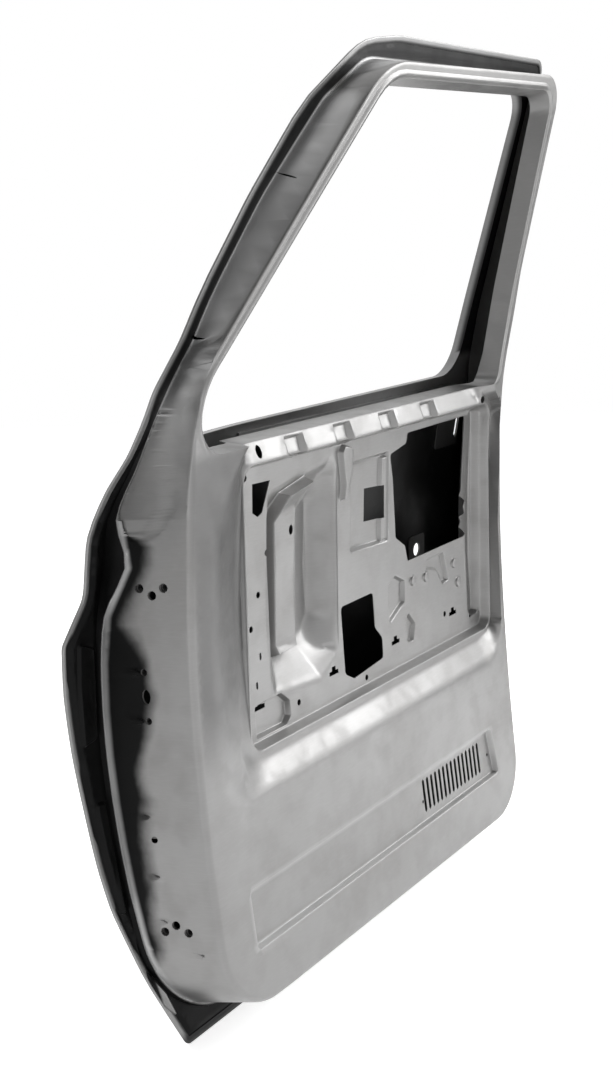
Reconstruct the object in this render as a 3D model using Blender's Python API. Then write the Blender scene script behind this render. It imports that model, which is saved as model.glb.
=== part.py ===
"""Bare pressed-steel shell of a van's right-hand front door, in metres.

X runs rearward along the body side, Y runs outward through the door and Z runs up. Sizes are laid out
from the belt line at the front of the service recess. A datum empty then moves the whole door so that
its origin is on the upper hinge seat.
"""

import math

import bmesh
import bpy
import numpy as np
from mathutils.geometry import delaunay_2d_cdt

# Driving sizes of the whole door
PANEL_WIDTH = 0.846  # hinge-side crease to lock-side crease of the inner panel
PANEL_DROP = 0.672  # belt line down to the bottom crease
FRAME_RISE = 0.486  # belt line up to the crest of the window frame
HINGE_CREASE = -0.130  # where the inner face turns into the hinge face
CREASE_DEPTH = -0.004
RECESS_WIDTH = 0.700
RECESS_DROP = 0.370
DOOR_DEPTH = 0.133  # inner face to outer skin where the door is thickest
PILLAR_BOW = 0.046  # how far the skin turns in towards the windscreen pillar
BOW_REACH = 0.260
HINGE_LEAN = math.radians(12.5)
LOCK_LEAN = math.radians(36.0)

# Sheet metal
PANEL_SHEET = 0.0012
SKIN_SHEET = 0.0010
BRACE_SHEET = 0.0016
HINGE_PLATE = 0.0030
CLEARANCE = 0.0003
MASTIC_GAP = 0.0007  # sealer between the outer skin and a plate behind it
HEM_WIDTH = 0.009
HEM_SLACK = 0.0014  # from the edge of the flange to the fold of the hem round it
FLANGE_LIFT_SHARE = 0.3  # how far the flange stands off the skin inside the hem, as a share of the ledge
LIFT_WIDTH = 0.006
RETURN_DEPTH = 0.016  # edge turned in round the window in the outer skin
SEAT_GAP = SKIN_SHEET + MASTIC_GAP  # from the skin's outer face to the flange that it is folded over
HEM_HEIGHT = SEAT_GAP + PANEL_SHEET + CLEARANCE + SKIN_SHEET

# Depths drawn into the inner panel
DISH_DEPTH = 0.018
RECESS_DEPTH = 0.016
RECESS_WALL = 0.007
LEDGE_DEPTH = 0.012  # skin up to the ledge at the foot of the side walls
FRAME_LEDGE = 0.004  # the same ledge in the window frame
LEDGE_WIDTH = 0.003
RISER_WIDTH = 0.002
OPENING_WALL = 0.005  # how far the window opening's turned edge leans
OPENING_TURN = 0.030  # how deep that edge is in the window frame
BELT_TURN = 0.036  # and how deep it is along the belt
BELT_SLOPE = 0.010
STRIP_SHARE = 0.945  # how far rearward the sloping strip below the belt runs
JOGGLE_RISE = 0.024
PAN_DEPTH = 0.036
POST_RISE = 0.024
POST_WALL = 0.013
PAD_DEPTH = 0.008
DROP_DEPTH = 0.006
LOWER_BOX_DEPTH = 0.009
BEAD_DEPTH = 0.0045
BOSS_HEIGHT = 0.0035
POCKET_DEPTH = 0.008
STEP_WALL = 0.006  # lean of an ordinary pressed step
SMALL_WALL = 0.004

# Holes and fixings
HOLE_RADIUS = 0.0045
SLOT_HALF = 0.0055
SLOT_RADIUS = 0.0022
BOSS_RADIUS = 0.0085
TEE_WIDTH = 0.024
TEE_HEIGHT = 0.012
TEE_STEM = 0.010
VENT_SLOTS = 15
BOLT_RADIUS = 0.0058
BOLT_SPACING = 0.032
DOWEL_OFFSET = 0.009
NUT_WIDTH = 0.017
NUT_HEIGHT = 0.009
CHECK_SPACING = 0.060
LATCH_REACH = 0.017
LATCH_RISE = 0.030
LATCH_SPACING = 0.024
PLATE_LIP = 0.006
BEAM_RADIUS = 0.014
BEAM_WALL = 0.0022
BEAM_SIDES = 16
HANDLE_SLOT_HALF = 0.018
HANDLE_SLOT_RADIUS = 0.0055
LOCK_RADIUS = 0.011
MIRROR_HALF = 0.034
LONGEST_EDGE = 0.110  # longest straight run left undivided along a curved edge
ROW_HEIGHT = 0.033  # rows of points across the outer skin, and their spacing where it turns in
ROW_STEPS = 4  # how many times further apart they are along it elsewhere
ARC_STEPS = 3

# Height profiles of the two skins. Heights are shares of the drop below the belt or of the rise
# above it, and depths are shares of the door's depth.
CREST_SHARES = (
    (-1.19, -0.165), (-1.04, -0.090), (-0.83, -0.008), (-0.66, 0.026), (-0.48, 0.030),
    (-0.28, -0.008), (-0.15, -0.068), (-0.03, -0.135), (0.062, -0.180), (0.30, -0.382),
    (0.60, -0.632), (1.13, -1.080),
)
SKIN_SHARES = (
    (-1.19, 0.450), (-1.04, 0.660), (-0.89, 0.830), (-0.74, 0.955), (-0.60, 1.015),
    (-0.45, 1.030), (-0.30, 0.978), (-0.15, 0.842), (0.0, 0.654), (0.206, 0.421),
    (0.60, -0.034), (1.13, -0.647),
)
BOW_SHARES = (-0.09, 0.25, 0.33, 0.90)  # heights where the bow starts, is full, fades and ends
PILLAR_SLOPE = 0.75  # how far the windscreen pillar runs rearward for each metre up
PILLAR_FOOT_SHARE = -0.024

# Outlines of the whole door: along it, up it, and corner radius, as shares of width and of drop or rise
CREST_TOP_SHARES = (
    (1.000, 0.410, 0.300), (1.061, 1.002, 0.053), (0.410, 0.978, 0.160), (0.009, 0.248, 0.130),
)
CORNER_SHARE = 0.112
OPENING_SHARES = (
    (0.012, 0.052, 0.085), (0.968, 0.054, 0.030), (0.970, 0.330, 0.300), (1.026, 0.955, 0.036),
    (0.424, 0.938, 0.106), (0.019, 0.222, 0.130),
)
SKIN_OPENING_SHARES = (
    (0.010, 0.084, 0.085), (0.985, 0.095, 0.060), (0.998, 0.350, 0.300), (1.036, 0.972, 0.046),
    (0.420, 0.948, 0.106), (0.016, 0.229, 0.130),
)
FOOT_DROP_SHARE = -1.027
FOOT_CORNER_SHARES = (0.152, 0.140)
FOOT_TOP_SHARES = (
    (1.062, 0.300, 0.200), (1.087, 1.018, 0.050), (0.457, 1.005, 0.100), (0.358, 0.899, 0.100),
    (0.203, 0.651, 0.300), (0.083, 0.419, 0.500), (0.002, 0.208, 0.100), (-0.008, 0.030, 0.100),
)
SKIN_LINE_SHARES = (
    (0.013, -1.068, 0.012), (1.145, -1.068, 0.080), (1.146, -0.250, 0.300), (1.112, 0.060, 0.200),
    (1.116, 1.070, 0.030), (0.550, 1.072, 0.200), (0.440, 1.050, 0.150), (0.297, 0.878, 0.300),
    (0.171, 0.661, 0.400), (0.063, 0.447, 0.400), (-0.027, 0.222, 0.050), (-0.029, 0.070, 0.060),
    (-0.045, -0.002, 0.060), (-0.062, -0.090, 0.060), (-0.061, -0.190, 0.040), (-0.104, -0.266, 0.020),
    (-0.102, -0.360, 0.100), (-0.095, -0.460, 0.000), (-0.085, -0.572, 0.000), (-0.076, -0.688, 0.300),
    (-0.066, -0.771, 0.150), (-0.033, -0.918, 0.300),
)
DISH_SHARES = (
    (0.028, -0.626, 0.075), (0.985, -0.626, 0.070), (0.993, -0.020, 0.010), (0.950, 0.062, 0.010),
    (0.950, 0.220, 0.000), (0.150, 0.220, 0.000), (0.150, 0.090, 0.020), (0.045, -0.080, 0.050),
)
LOWER_BOX_SHARES = (
    (0.078, -0.895, 0.008), (0.916, -0.892, 0.008), (0.904, -0.776, 0.008), (0.078, -0.777, 0.008),
)
VENT_SHARES = (0.632, 0.866, -0.796, -0.872)  # front, rear, top and bottom of the grille
VENT_SLOT_SHARE = 0.42  # slot width over slot pitch
FLANGE_BEAD_SHARES = (
    ((-0.079, -0.520), (-0.065, -0.520), (-0.060, -0.330), (-0.079, -0.330)),
)

# Outlines in the service recess, as shares of its width and of its drop
RECESS_SHARES = ((0.001, 1.000), (1.006, 1.000), (1.006, 0.004), (0.001, 0.004))
DISH_FLOOR_SHARES = (
    (-0.003, 1.008), (1.010, 1.008), (1.010, 0.000), (0.945, -0.060), (0.945, -0.270), (0.020, -0.270),
    (0.020, -0.050), (-0.003, -0.004),
)
GROOVE_SHARES = ((0.935, 0.935), (0.996, 0.935), (0.996, 0.020), (0.935, 0.020))
PAN_SHARES = (
    (0.110, 0.860), (0.290, 0.900), (0.357, 0.800), (0.359, 0.080), (0.336, 0.048), (0.110, 0.120),
)
PAN_FLOOR_SHARES = (
    (0.125, 0.690), (0.300, 0.690), (0.322, 0.640), (0.322, 0.220), (0.290, 0.200), (0.125, 0.260),
)
POST_SHARES = ((0.158, 0.720), (0.228, 0.718), (0.237, 0.120), (0.167, 0.150))
HATCH_SHARES = (
    (0.658, 0.573), (0.931, 0.568), (0.950, 0.511), (0.926, 0.438), (0.950, 0.376), (0.957, 0.062),
    (0.951, 0.044), (0.650, 0.049), (0.645, 0.090), (0.576, 0.116), (0.590, 0.216), (0.606, 0.459),
    (0.647, 0.505),
)
ACCESS_SHARES = (
    (0.376, 0.905), (0.410, 0.938), (0.533, 0.916), (0.533, 0.832), (0.506, 0.781), (0.503, 0.638),
    (0.373, 0.641),
)
CORNER_HOLE_SHARES = ((0.064, 0.178), (0.082, 0.197), (0.096, 0.186), (0.121, 0.081), (0.063, 0.078))
HANDLE_PAN_SHARES = ((0.416, 0.451), (0.574, 0.462), (0.574, 0.097), (0.413, 0.100))
HANDLE_HOLE_SHARES = ((0.489, 0.354), (0.563, 0.362), (0.561, 0.232), (0.489, 0.224))
FINGER_SHARES = (
    (0.361, 0.303), (0.396, 0.200), (0.410, 0.127), (0.410, 0.040), (0.374, 0.020), (0.361, 0.050),
    (0.376, 0.178),
)
CORNER_PAD_SHARES = (
    (0.049, 0.975), (0.151, 0.978), (0.169, 0.951), (0.169, 0.892), (0.141, 0.851), (0.049, 0.854),
)
DROP_SHARES = (
    ((0.568, 0.800), (0.614, 0.757), (0.640, 0.738), (0.644, 0.646), (0.601, 0.608), (0.568, 0.640)),
    ((0.641, 0.905), (0.669, 0.913), (0.683, 0.843), (0.652, 0.781), (0.640, 0.811)),
    ((0.794, 0.665), (0.815, 0.735), (0.850, 0.730), (0.826, 0.597), (0.743, 0.600), (0.743, 0.643)),
)
POCKET_SHARES = (0.150, 0.324, 0.502, 0.680)  # front edges of the clip pockets along the belt
POCKET_WIDTH_SHARE = 0.066
FLOOR_HOLE_SHARES = (
    (0.039, 0.051), (0.054, 0.581), (0.199, 0.919), (0.459, 0.959), (0.946, 0.924), (0.820, 0.865),
    (0.110, 0.332), (0.081, 0.470),
)
FLOOR_SLOT_SHARES = ((0.080, 0.689), (0.063, 0.786), (0.944, 0.803))
BOSS_SHARES = ((0.676, 0.662), (0.873, 0.665), (0.736, 0.670), (0.890, 0.754))
TEE_SHARES = ((0.082, 0.868), (0.333, 0.868), (0.589, 0.870), (0.859, 0.870))

# Fixings on the shut faces: how far out from the crease, and at what share of the drop
HINGE_OUT = 0.034
UPPER_HINGE_SHARE = -0.182
LOWER_HINGE_OUT = 0.047
LOWER_HINGE_SHARE = -0.822
CHECK_OUT = 0.071
CHECK_SHARE = -0.379
SPARE_OUT = 0.080
SPARE_SHARE = -0.646
LATCH_OUT = 0.062
LATCH_SHARE = -0.330
BEAM_OUT = 0.075
BEAM_SHARE = -0.590

# Fixings on the outer skin, as shares of the panel's width and drop
HANDLE_SLOT_SHARE = (1.067, -0.071)
LOCK_HOLE_SHARE = (0.943, -0.353)
MIRROR_SHARE = (0.062, -0.150)


def height_of(share):
    """Height above the belt line, from a share of the rise above it or of the drop below it."""
    return share * (FRAME_RISE if share > 0 else PANEL_DROP)


def along_of(share):
    """Distance rearward of the belt datum, from a share of the panel's width past its hinge crease."""
    return HINGE_CREASE + share * PANEL_WIDTH


def recess_place(share):
    return share[0] * RECESS_WIDTH, -share[1] * RECESS_DROP


def ramp(value, width):
    return np.clip(value / width, 0, 1)


def ease(value, width):
    t = ramp(value, width)
    return t * t * (3 - 2 * t)


def station_curve(stations):
    """A smooth curve through stations of height and depth, as a function of height."""
    heights = np.array([height_of(h) for h, _ in stations])
    depths = np.array([d * DOOR_DEPTH for _, d in stations])
    slopes = np.gradient(depths, heights)

    def curve(z):
        z = np.clip(z, heights[0], heights[-1])
        i = np.clip(np.searchsorted(heights, z) - 1, 0, len(heights) - 2)
        span = heights[i + 1] - heights[i]
        t = (z - heights[i]) / span
        return (
            depths[i] * (1 + 2 * t) * (1 - t) ** 2
            + slopes[i] * span * t * (1 - t) ** 2
            + depths[i + 1] * t**2 * (3 - 2 * t)
            + slopes[i + 1] * span * t**2 * (t - 1)
        )

    return curve


crest_at = station_curve(CREST_SHARES)
flank_at = station_curve(SKIN_SHARES)


def skin_at(x, z):
    """Depth of the skin's outer face: it turns in towards the windscreen pillar above the belt."""
    start, full, fade, end = (height_of(share) for share in BOW_SHARES)
    rise = ease(z - start, full - start) * (1 - ramp(z - fade, end - fade))
    pillar = along_of(PILLAR_FOOT_SHARE) + PILLAR_SLOPE * np.clip(z - full, 0, None)
    return flank_at(z) - PILLAR_BOW * rise * (1 - ease(x - pillar, BOW_REACH))


def ledge_at(z):
    return LEDGE_DEPTH + (FRAME_LEDGE - LEDGE_DEPTH) * ease(z, height_of(0.16))


def step_at(x, z, hinge_side):
    """Depth of the ledge at the foot of a side wall, which rises at the joggle by the upper hinge."""
    joggle = np.exp(-(((z - height_of(-0.14)) / height_of(-0.06)) ** 2)) * hinge_side
    return skin_at(x, z) - ledge_at(z) - JOGGLE_RISE * joggle


class Wall:
    """A flat shut face: it leans outward from the crease of the inner face."""

    def __init__(self, crease, lean, side):
        self.crease, self.lean, self.side = crease, lean, side

    def x_at(self, y):
        return self.crease + self.side * (y - CREASE_DEPTH) * math.tan(self.lean)

    def top_at(self, z):
        return self.x_at(crest_at(z))

    def foot_at(self, z):
        return self.x_at(step_at(self.crease, z, self.side < 0))

    def out_at(self, y):
        return (y - CREASE_DEPTH) / math.cos(self.lean)

    def place(self, out, z, inward=0.0):
        """A point so far out from the crease along the face, and so far inside it."""
        c, s = math.cos(self.lean), math.sin(self.lean)
        x = self.crease + self.side * (out * s - inward * c)
        y = CREASE_DEPTH + out * c + inward * s
        return np.stack(np.broadcast_arrays(x, y, z), -1)

    def hole(self, out, z, radius_out, radius_up):
        """A round hole in the face, as it looks along the door's depth."""
        ring = circle(0, 0, radius_out, radius_up, 10)
        return np.stack([self.place(out + ring[:, 0], z)[:, 0], z + ring[:, 1]], 1)


HINGE_WALL = Wall(HINGE_CREASE, HINGE_LEAN, -1)
LOCK_WALL = Wall(HINGE_CREASE + PANEL_WIDTH, LOCK_LEAN, 1)
WALLS = (HINGE_WALL, LOCK_WALL)
WALL_TOP = height_of(-0.06)
WALL_FOOT = height_of(-1.0) + CORNER_SHARE * PANEL_WIDTH


class Outline:
    """A closed outline of (x, z, corner radius) points, anticlockwise seen from inside the car."""

    def __init__(self, points, steps=ARC_STEPS, longest=LONGEST_EDGE):
        self.points = [tuple(p) for p in points]
        count = len(self.points)
        turns = [self.turn(i) / 90 if point[2] > 0 else 0 for i, point in enumerate(self.points)]
        self.arcs = [max(1, round(turn * steps)) if turn else 0 for turn in turns]
        self.cuts = [math.ceil(self.sides(i)[2] / longest) - 1 if longest else 0 for i in range(count)]

    def sides(self, i):
        """Unit vectors into and out of a corner, and the length of the side after it."""
        count = len(self.points)
        before, here, after = (np.array(self.points[(i + k) % count][:2]) for k in (-1, 0, 1))
        a, b = here - before, after - here
        return a / np.linalg.norm(a), b / np.linalg.norm(b), np.linalg.norm(b)

    def turn(self, i):
        a, b, _ = self.sides(i)
        return math.degrees(math.acos(np.clip(a @ b, -1, 1)))

    def inset(self, distance):
        """The outline moved inwards, its corner radii following."""
        moved = []
        for i, point in enumerate(self.points):
            a, b, _ = self.sides(i)
            normal_a, normal_b = np.array((-a[1], a[0])), np.array((-b[1], b[0]))
            corner = np.array(point[:2]) + (normal_a + normal_b) / (1 + normal_a @ normal_b) * distance
            radius = point[2] - math.copysign(1, a[0] * b[1] - a[1] * b[0]) * distance
            moved.append((corner[0], corner[1], max(radius, 0) if point[2] > 0 else 0))
        outline = Outline(moved)
        outline.arcs, outline.cuts = self.arcs, self.cuts
        return outline

    def ring(self):
        """The outline's points, with its corners rounded and its long sides divided."""
        count = len(self.points)
        halves = [math.radians(self.turn(i)) / 2 for i in range(count)]
        reach = [point[2] * math.tan(half) for point, half in zip(self.points, halves)]
        share = [1.0] * count
        for i in range(count):
            total = reach[i] + reach[(i + 1) % count]
            for j in (i, (i + 1) % count):
                share[j] = min(share[j], self.sides(i)[2] / total if total > 0 else 1.0)
        found = []
        for i, point in enumerate(self.points):
            a, b, _ = self.sides(i)
            corner, back = np.array(point[:2]), reach[i] * share[i]
            start, end = corner - a * back, corner + b * back
            for k in range(self.arcs[i] + 1):
                t = k / self.arcs[i] if self.arcs[i] else 0.5
                w = (1 - t) ** 2, 2 * math.cos(halves[i]) * t * (1 - t), t**2
                found.append((w[0] * start + w[1] * corner + w[2] * end) / sum(w))
            j = (i + 1) % count
            far = np.array(self.points[j][:2]) - b * reach[j] * share[j]
            for k in range(self.cuts[i]):
                found.append(end + (far - end) * (k + 1) / (self.cuts[i] + 1))
        return np.array(found)


def inside_by(ring, x, z):
    """How far each point lies inside a ring; negative outside it."""
    a, b = ring, np.roll(ring, -1, axis=0)
    keep = ((b - a) ** 2).sum(1) > 0
    a, edge = a[keep], (b - a)[keep]
    px, pz = x[:, None] - a[:, 0], z[:, None] - a[:, 1]
    t = np.clip((px * edge[:, 0] + pz * edge[:, 1]) / (edge**2).sum(1), 0, 1)
    gap = np.hypot(px - t * edge[:, 0], pz - t * edge[:, 1]).min(1)
    above = (a[:, 1] > z[:, None]) != (a[:, 1] + edge[:, 1] > z[:, None])
    with np.errstate(divide="ignore", invalid="ignore"):
        cross = edge[:, 0] * pz / edge[:, 1] + a[:, 0]
    odd = (above & (x[:, None] < cross)).sum(1) % 2
    return np.where(odd == 1, gap, -gap)


def door_outline(shares, steps=ARC_STEPS, longest=LONGEST_EDGE):
    points = [(along_of(x), height_of(z), r * PANEL_WIDTH) for x, z, r in shares]
    return Outline(points, steps, longest)


def recess_outline(shares, radius_share=0.0, steps=2):
    """An outline inside the service recess."""
    return Outline([(*recess_place(p), radius_share * RECESS_WIDTH) for p in shares], steps, 0)


def circle(x, z, radius_x, radius_z, count=8):
    turn = np.arange(count) * 2 * math.pi / count
    return np.stack([x + radius_x * np.cos(turn), z + radius_z * np.sin(turn)], 1)


def slot(x, z, half, radius):
    """An upright slot with round ends."""
    ends = []
    for side in (1, -1):
        for k in range(3):
            turn = math.pi * k / 2 + (0 if side > 0 else math.pi)
            ends.append((x + radius * math.cos(turn), z + side * (half - radius) + radius * math.sin(turn)))
    return np.array(ends)


def side_outline(top_shares, corners, edge_at, low):
    """An outline of the panel: its bottom corners, lock side, window frame and hinge side."""
    stations = np.linspace(low, WALL_TOP, 10)
    points = [*corners]
    points += [(edge_at(LOCK_WALL, z), z, 0) for z in stations]
    points += [(along_of(x), height_of(z), r * PANEL_WIDTH) for x, z, r in top_shares]
    points += [(edge_at(HINGE_WALL, z), z, 0) for z in reversed(stations)]
    return Outline(points, 2 * ARC_STEPS)


def crest_outline():
    bottom = height_of(-1.0)
    corners = [(wall.top_at(bottom), bottom, CORNER_SHARE * PANEL_WIDTH) for wall in WALLS]
    return side_outline(CREST_TOP_SHARES, corners, Wall.top_at, WALL_FOOT)


def foot_outline():
    bottom = height_of(FOOT_DROP_SHARE)
    radii = [share * PANEL_WIDTH for share in FOOT_CORNER_SHARES]
    low = bottom + max(radii)
    corners = [(wall.foot_at(low), bottom, radius) for wall, radius in zip(WALLS, radii)]
    return side_outline(FOOT_TOP_SHARES, corners, Wall.foot_at, low)


crest_line = crest_outline()
foot_line = foot_outline()
opening_line = door_outline(OPENING_SHARES)
skin_line = door_outline(SKIN_LINE_SHARES)
skin_opening = door_outline(SKIN_OPENING_SHARES)
recess_line = recess_outline(RECESS_SHARES, 0.036, ARC_STEPS)


class Step:
    """A step pressed into a sheet: full depth inside its floor ring, none outside its top ring."""

    def __init__(self, outline, depth, wall=STEP_WALL, floor=None):
        self.top = outline.ring()
        self.floor = (floor or outline.inset(wall)).ring()
        self.depth = depth

    def at(self, x, z):
        outer = inside_by(self.top, x, z)
        inner = inside_by(self.floor, x, z)
        between = np.clip(outer, 0, None) / np.clip(outer - inner, 1e-9, None)
        return self.depth * np.where(inner >= 0, 1.0, np.where(outer <= 0, 0.0, between))


def boss(share):
    ring = circle(*recess_place(share), BOSS_RADIUS, BOSS_RADIUS, 6)
    return Outline([(x, z, 0) for x, z in ring], 1, 0)


def pocket(front):
    """A clip pocket pressed into the belt strip."""
    belt = height_of(OPENING_SHARES[0][1])
    low, high = -0.35 * belt, 0.93 * belt
    left, right = front * RECESS_WIDTH, (front + POCKET_WIDTH_SHARE) * RECESS_WIDTH
    return Outline([(left, low, 0), (right, low, 0), (right, high, 0), (left, high, 0)], 1, 0)


dish_floor = recess_outline(DISH_FLOOR_SHARES, 0.036, ARC_STEPS)
face_steps = [
    Step(door_outline(DISH_SHARES), DISH_DEPTH, floor=dish_floor),
    Step(recess_line, RECESS_DEPTH, RECESS_WALL),
    Step(recess_outline(GROOVE_SHARES, 0.020), RECESS_DEPTH * 0.8, STEP_WALL),
    Step(recess_outline(PAN_SHARES, 0.010), PAN_DEPTH, floor=recess_outline(PAN_FLOOR_SHARES, 0.010)),
    Step(recess_outline(POST_SHARES).inset(-POST_WALL), -POST_RISE, POST_WALL),
    Step(recess_outline(HANDLE_PAN_SHARES, 0.008), PAD_DEPTH),
    Step(recess_outline(FINGER_SHARES, 0.008), -PAD_DEPTH, SMALL_WALL),
    Step(recess_outline(CORNER_PAD_SHARES, 0.006), PAD_DEPTH, SMALL_WALL),
    Step(door_outline(LOWER_BOX_SHARES, 2, 0), LOWER_BOX_DEPTH, SMALL_WALL),
]
face_steps += [Step(recess_outline(shares, 0.006), DROP_DEPTH, SMALL_WALL) for shares in DROP_SHARES]
face_steps += [Step(boss(share), -BOSS_HEIGHT, BOSS_HEIGHT / 2) for share in BOSS_SHARES]
face_steps += [Step(pocket(front), POCKET_DEPTH, STEP_WALL) for front in POCKET_SHARES]
bead_steps = [
    Step(door_outline([(x, z, 0.006) for x, z in shares], 2, 0), -BEAD_DEPTH, SMALL_WALL)
    for shares in FLANGE_BEAD_SHARES
]

CREST_RING = crest_line.ring()
OPENING_RING = opening_line.ring()
OPENING_FLOOR = opening_line.inset(OPENING_WALL).ring()
FOOT_RING = foot_line.ring()
LEDGE_RING = foot_line.inset(-LEDGE_WIDTH).ring()
RISER_RING = foot_line.inset(-LEDGE_WIDTH - RISER_WIDTH).ring()
PANEL_EDGE = skin_line.inset(SKIN_SHEET + HEM_SLACK).ring()
HEM_RING = skin_line.inset(HEM_WIDTH).ring()
LIFT_RING = skin_line.inset(HEM_WIDTH + LIFT_WIDTH).ring()


def wall_share(x, z, past_crest):
    """How far down its side wall a point lies, from the crest to the foot."""
    to_foot = inside_by(FOOT_RING, x, z)
    share = np.clip(past_crest, 0, None) / np.clip(past_crest + np.clip(to_foot, 0, None), 1e-9, None)
    for wall in WALLS:
        top, foot = wall.top_at(z), wall.foot_at(z)
        on_wall = (z > WALL_FOOT - CLEARANCE) & (z < WALL_TOP + CLEARANCE) & (wall.side * (x - top) > 0)
        share = np.where(on_wall & (to_foot > 0), (x - top) / (foot - top), share)
    return np.clip(share, 0, 1)


def panel_depth(x, z):
    """The inner panel's depth over the door's plane."""
    crest, skin = crest_at(z), skin_at(x, z)
    step = step_at(x, z, x < HINGE_CREASE + PANEL_WIDTH / 2)
    lift = FLANGE_LIFT_SHARE * ledge_at(z) * ramp(inside_by(HEM_RING, x, z), LIFT_WIDTH)
    flange = skin - SEAT_GAP - PANEL_SHEET - lift
    past_crest = -inside_by(CREST_RING, x, z)
    y = crest + (step - crest) * wall_share(x, z, past_crest)
    past_ledge = -inside_by(LEDGE_RING, x, z)
    y = y + (flange - step) * ramp(past_ledge, RISER_WIDTH)
    belt = height_of(OPENING_SHARES[0][1])
    dish = dish_floor.ring()[:, 0].max()
    ends = ramp(x, PAD_DEPTH) * ramp(STRIP_SHARE * dish - x, PAD_DEPTH)
    strip = BELT_SLOPE * ramp(z, belt) * ends * (z < 2 * belt)
    face = sum(step_in.at(x, z) for step_in in face_steps) + strip
    y = np.where(past_crest <= 0, y + face, y)
    turn = OPENING_TURN + (BELT_TURN - OPENING_TURN) * ramp(3 * belt - z, 1.4 * belt)
    inside = inside_by(OPENING_RING, x, z)
    turned = np.minimum(y + turn * ramp(inside, OPENING_WALL), skin - RETURN_DEPTH / 2)
    y = np.where(inside > 0, turned, y)
    return y + sum(bead.at(x, z) for bead in bead_steps) * (past_ledge > RISER_WIDTH)


def hinge_bolts(out, share):
    """Centres of a hinge's two bolts: out from the crease, and height."""
    return [(out + k * BOLT_SPACING, height_of(share)) for k in (0, 1)]


def hinge_holes(out, share, dowel):
    holes = [(*place, BOLT_RADIUS, BOLT_RADIUS) for place in hinge_bolts(out, share)]
    return holes + [(out + BOLT_SPACING / 2, height_of(share) + dowel, BOLT_RADIUS, BOLT_RADIUS)]


UPPER_HOLES = hinge_holes(HINGE_OUT, UPPER_HINGE_SHARE, -DOWEL_OFFSET)
LOWER_HOLES = hinge_holes(LOWER_HINGE_OUT, LOWER_HINGE_SHARE, DOWEL_OFFSET)


def check_holes():
    z = height_of(CHECK_SHARE)
    sides = [(CHECK_OUT, z + k * CHECK_SPACING / 2, HOLE_RADIUS, HOLE_RADIUS) for k in (-1, 1)]
    return [(CHECK_OUT, z, BOLT_RADIUS, 1.6 * BOLT_RADIUS), *sides]


def latch_bolts():
    z = height_of(LATCH_SHARE)
    rise = 1.7 * LATCH_SPACING
    return [(LATCH_OUT + k * LATCH_SPACING, z + h * rise) for k, h in ((-1, 1), (1, 1), (0, -1))]


def latch_holes():
    bolts = [(*place, HOLE_RADIUS, HOLE_RADIUS) for place in latch_bolts()]
    return [(LATCH_OUT, height_of(LATCH_SHARE), LATCH_REACH, LATCH_RISE), *bolts]


def tee_hole(share):
    x, z = recess_place(share)
    w, h, s = TEE_WIDTH / 2, TEE_HEIGHT / 2, TEE_STEM / 2
    low = [(x - w, z - h), (x + w, z - h), (x + w, z), (x + s, z)]
    return np.array([*low, (x + s, z + h), (x - s, z + h), (x - s, z), (x - w, z)])


def vent_holes():
    front, rear, top, bottom = VENT_SHARES
    pitch = (rear - front) * PANEL_WIDTH / VENT_SLOTS
    middle, half = (height_of(top) + height_of(bottom)) / 2, (height_of(top) - height_of(bottom)) / 2
    starts = [along_of(front) + pitch * (k + 0.5) for k in range(VENT_SLOTS)]
    return [slot(x, middle, half, pitch * VENT_SLOT_SHARE / 2) for x in starts]


def panel_holes():
    """Every hole pierced in the inner panel."""
    holes = [OPENING_FLOOR]
    holes += [recess_outline(HATCH_SHARES, 0.006).ring(), recess_outline(ACCESS_SHARES, 0.008).ring()]
    holes += [recess_outline(CORNER_HOLE_SHARES).ring(), recess_outline(HANDLE_HOLE_SHARES).ring()]
    holes += [circle(*recess_place(share), HOLE_RADIUS, HOLE_RADIUS) for share in FLOOR_HOLE_SHARES]
    holes += [slot(*recess_place(share), SLOT_HALF, SLOT_RADIUS) for share in FLOOR_SLOT_SHARES]
    holes += [tee_hole(share) for share in TEE_SHARES] + vent_holes()
    holes += [HINGE_WALL.hole(*hole) for hole in [*UPPER_HOLES, *LOWER_HOLES, *check_holes()]]
    holes.append(HINGE_WALL.hole(SPARE_OUT, height_of(SPARE_SHARE), HOLE_RADIUS, HOLE_RADIUS))
    return holes + [LOCK_WALL.hole(*hole) for hole in latch_holes()]


def triangulate(boundary, holes=(), rings=(), lines=(), inner=()):
    """Points and triangles that fill a boundary outside its holes and keep to the lines given."""
    points, edges = [], []
    for ring in [boundary, *holes, *rings]:
        start, count = len(points), len(ring)
        points.extend((float(p[0]), float(p[1])) for p in ring)
        edges.extend((start + k, start + (k + 1) % count) for k in range(count))
    walls = sum(len(ring) for ring in [boundary, *holes])
    for line in lines:
        edges.append((len(points), len(points) + 1))
        points.extend(line)
    points.extend((float(p[0]), float(p[1])) for p in inner)
    flat, found, faces, _, sources, _ = delaunay_2d_cdt(points, edges, [], 0, 1e-7)
    flat = np.array([tuple(p) for p in flat])
    faces = np.array([tuple(f) for f in faces])
    walled = [edge for edge, source in zip(found, sources) if any(k < walls for k in source)]
    barriers = {tuple(sorted(edge)) for edge in walled}
    middle = flat[faces].mean(1)
    depth = inside_by(boundary, middle[:, 0], middle[:, 1])
    for hole in holes:
        depth = np.minimum(depth, -inside_by(hole, middle[:, 0], middle[:, 1]))
    used, faces = np.unique(faces[spread(faces, barriers, int(depth.argmax()))], return_inverse=True)
    return flat[used], faces.reshape(-1, 3)


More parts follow.
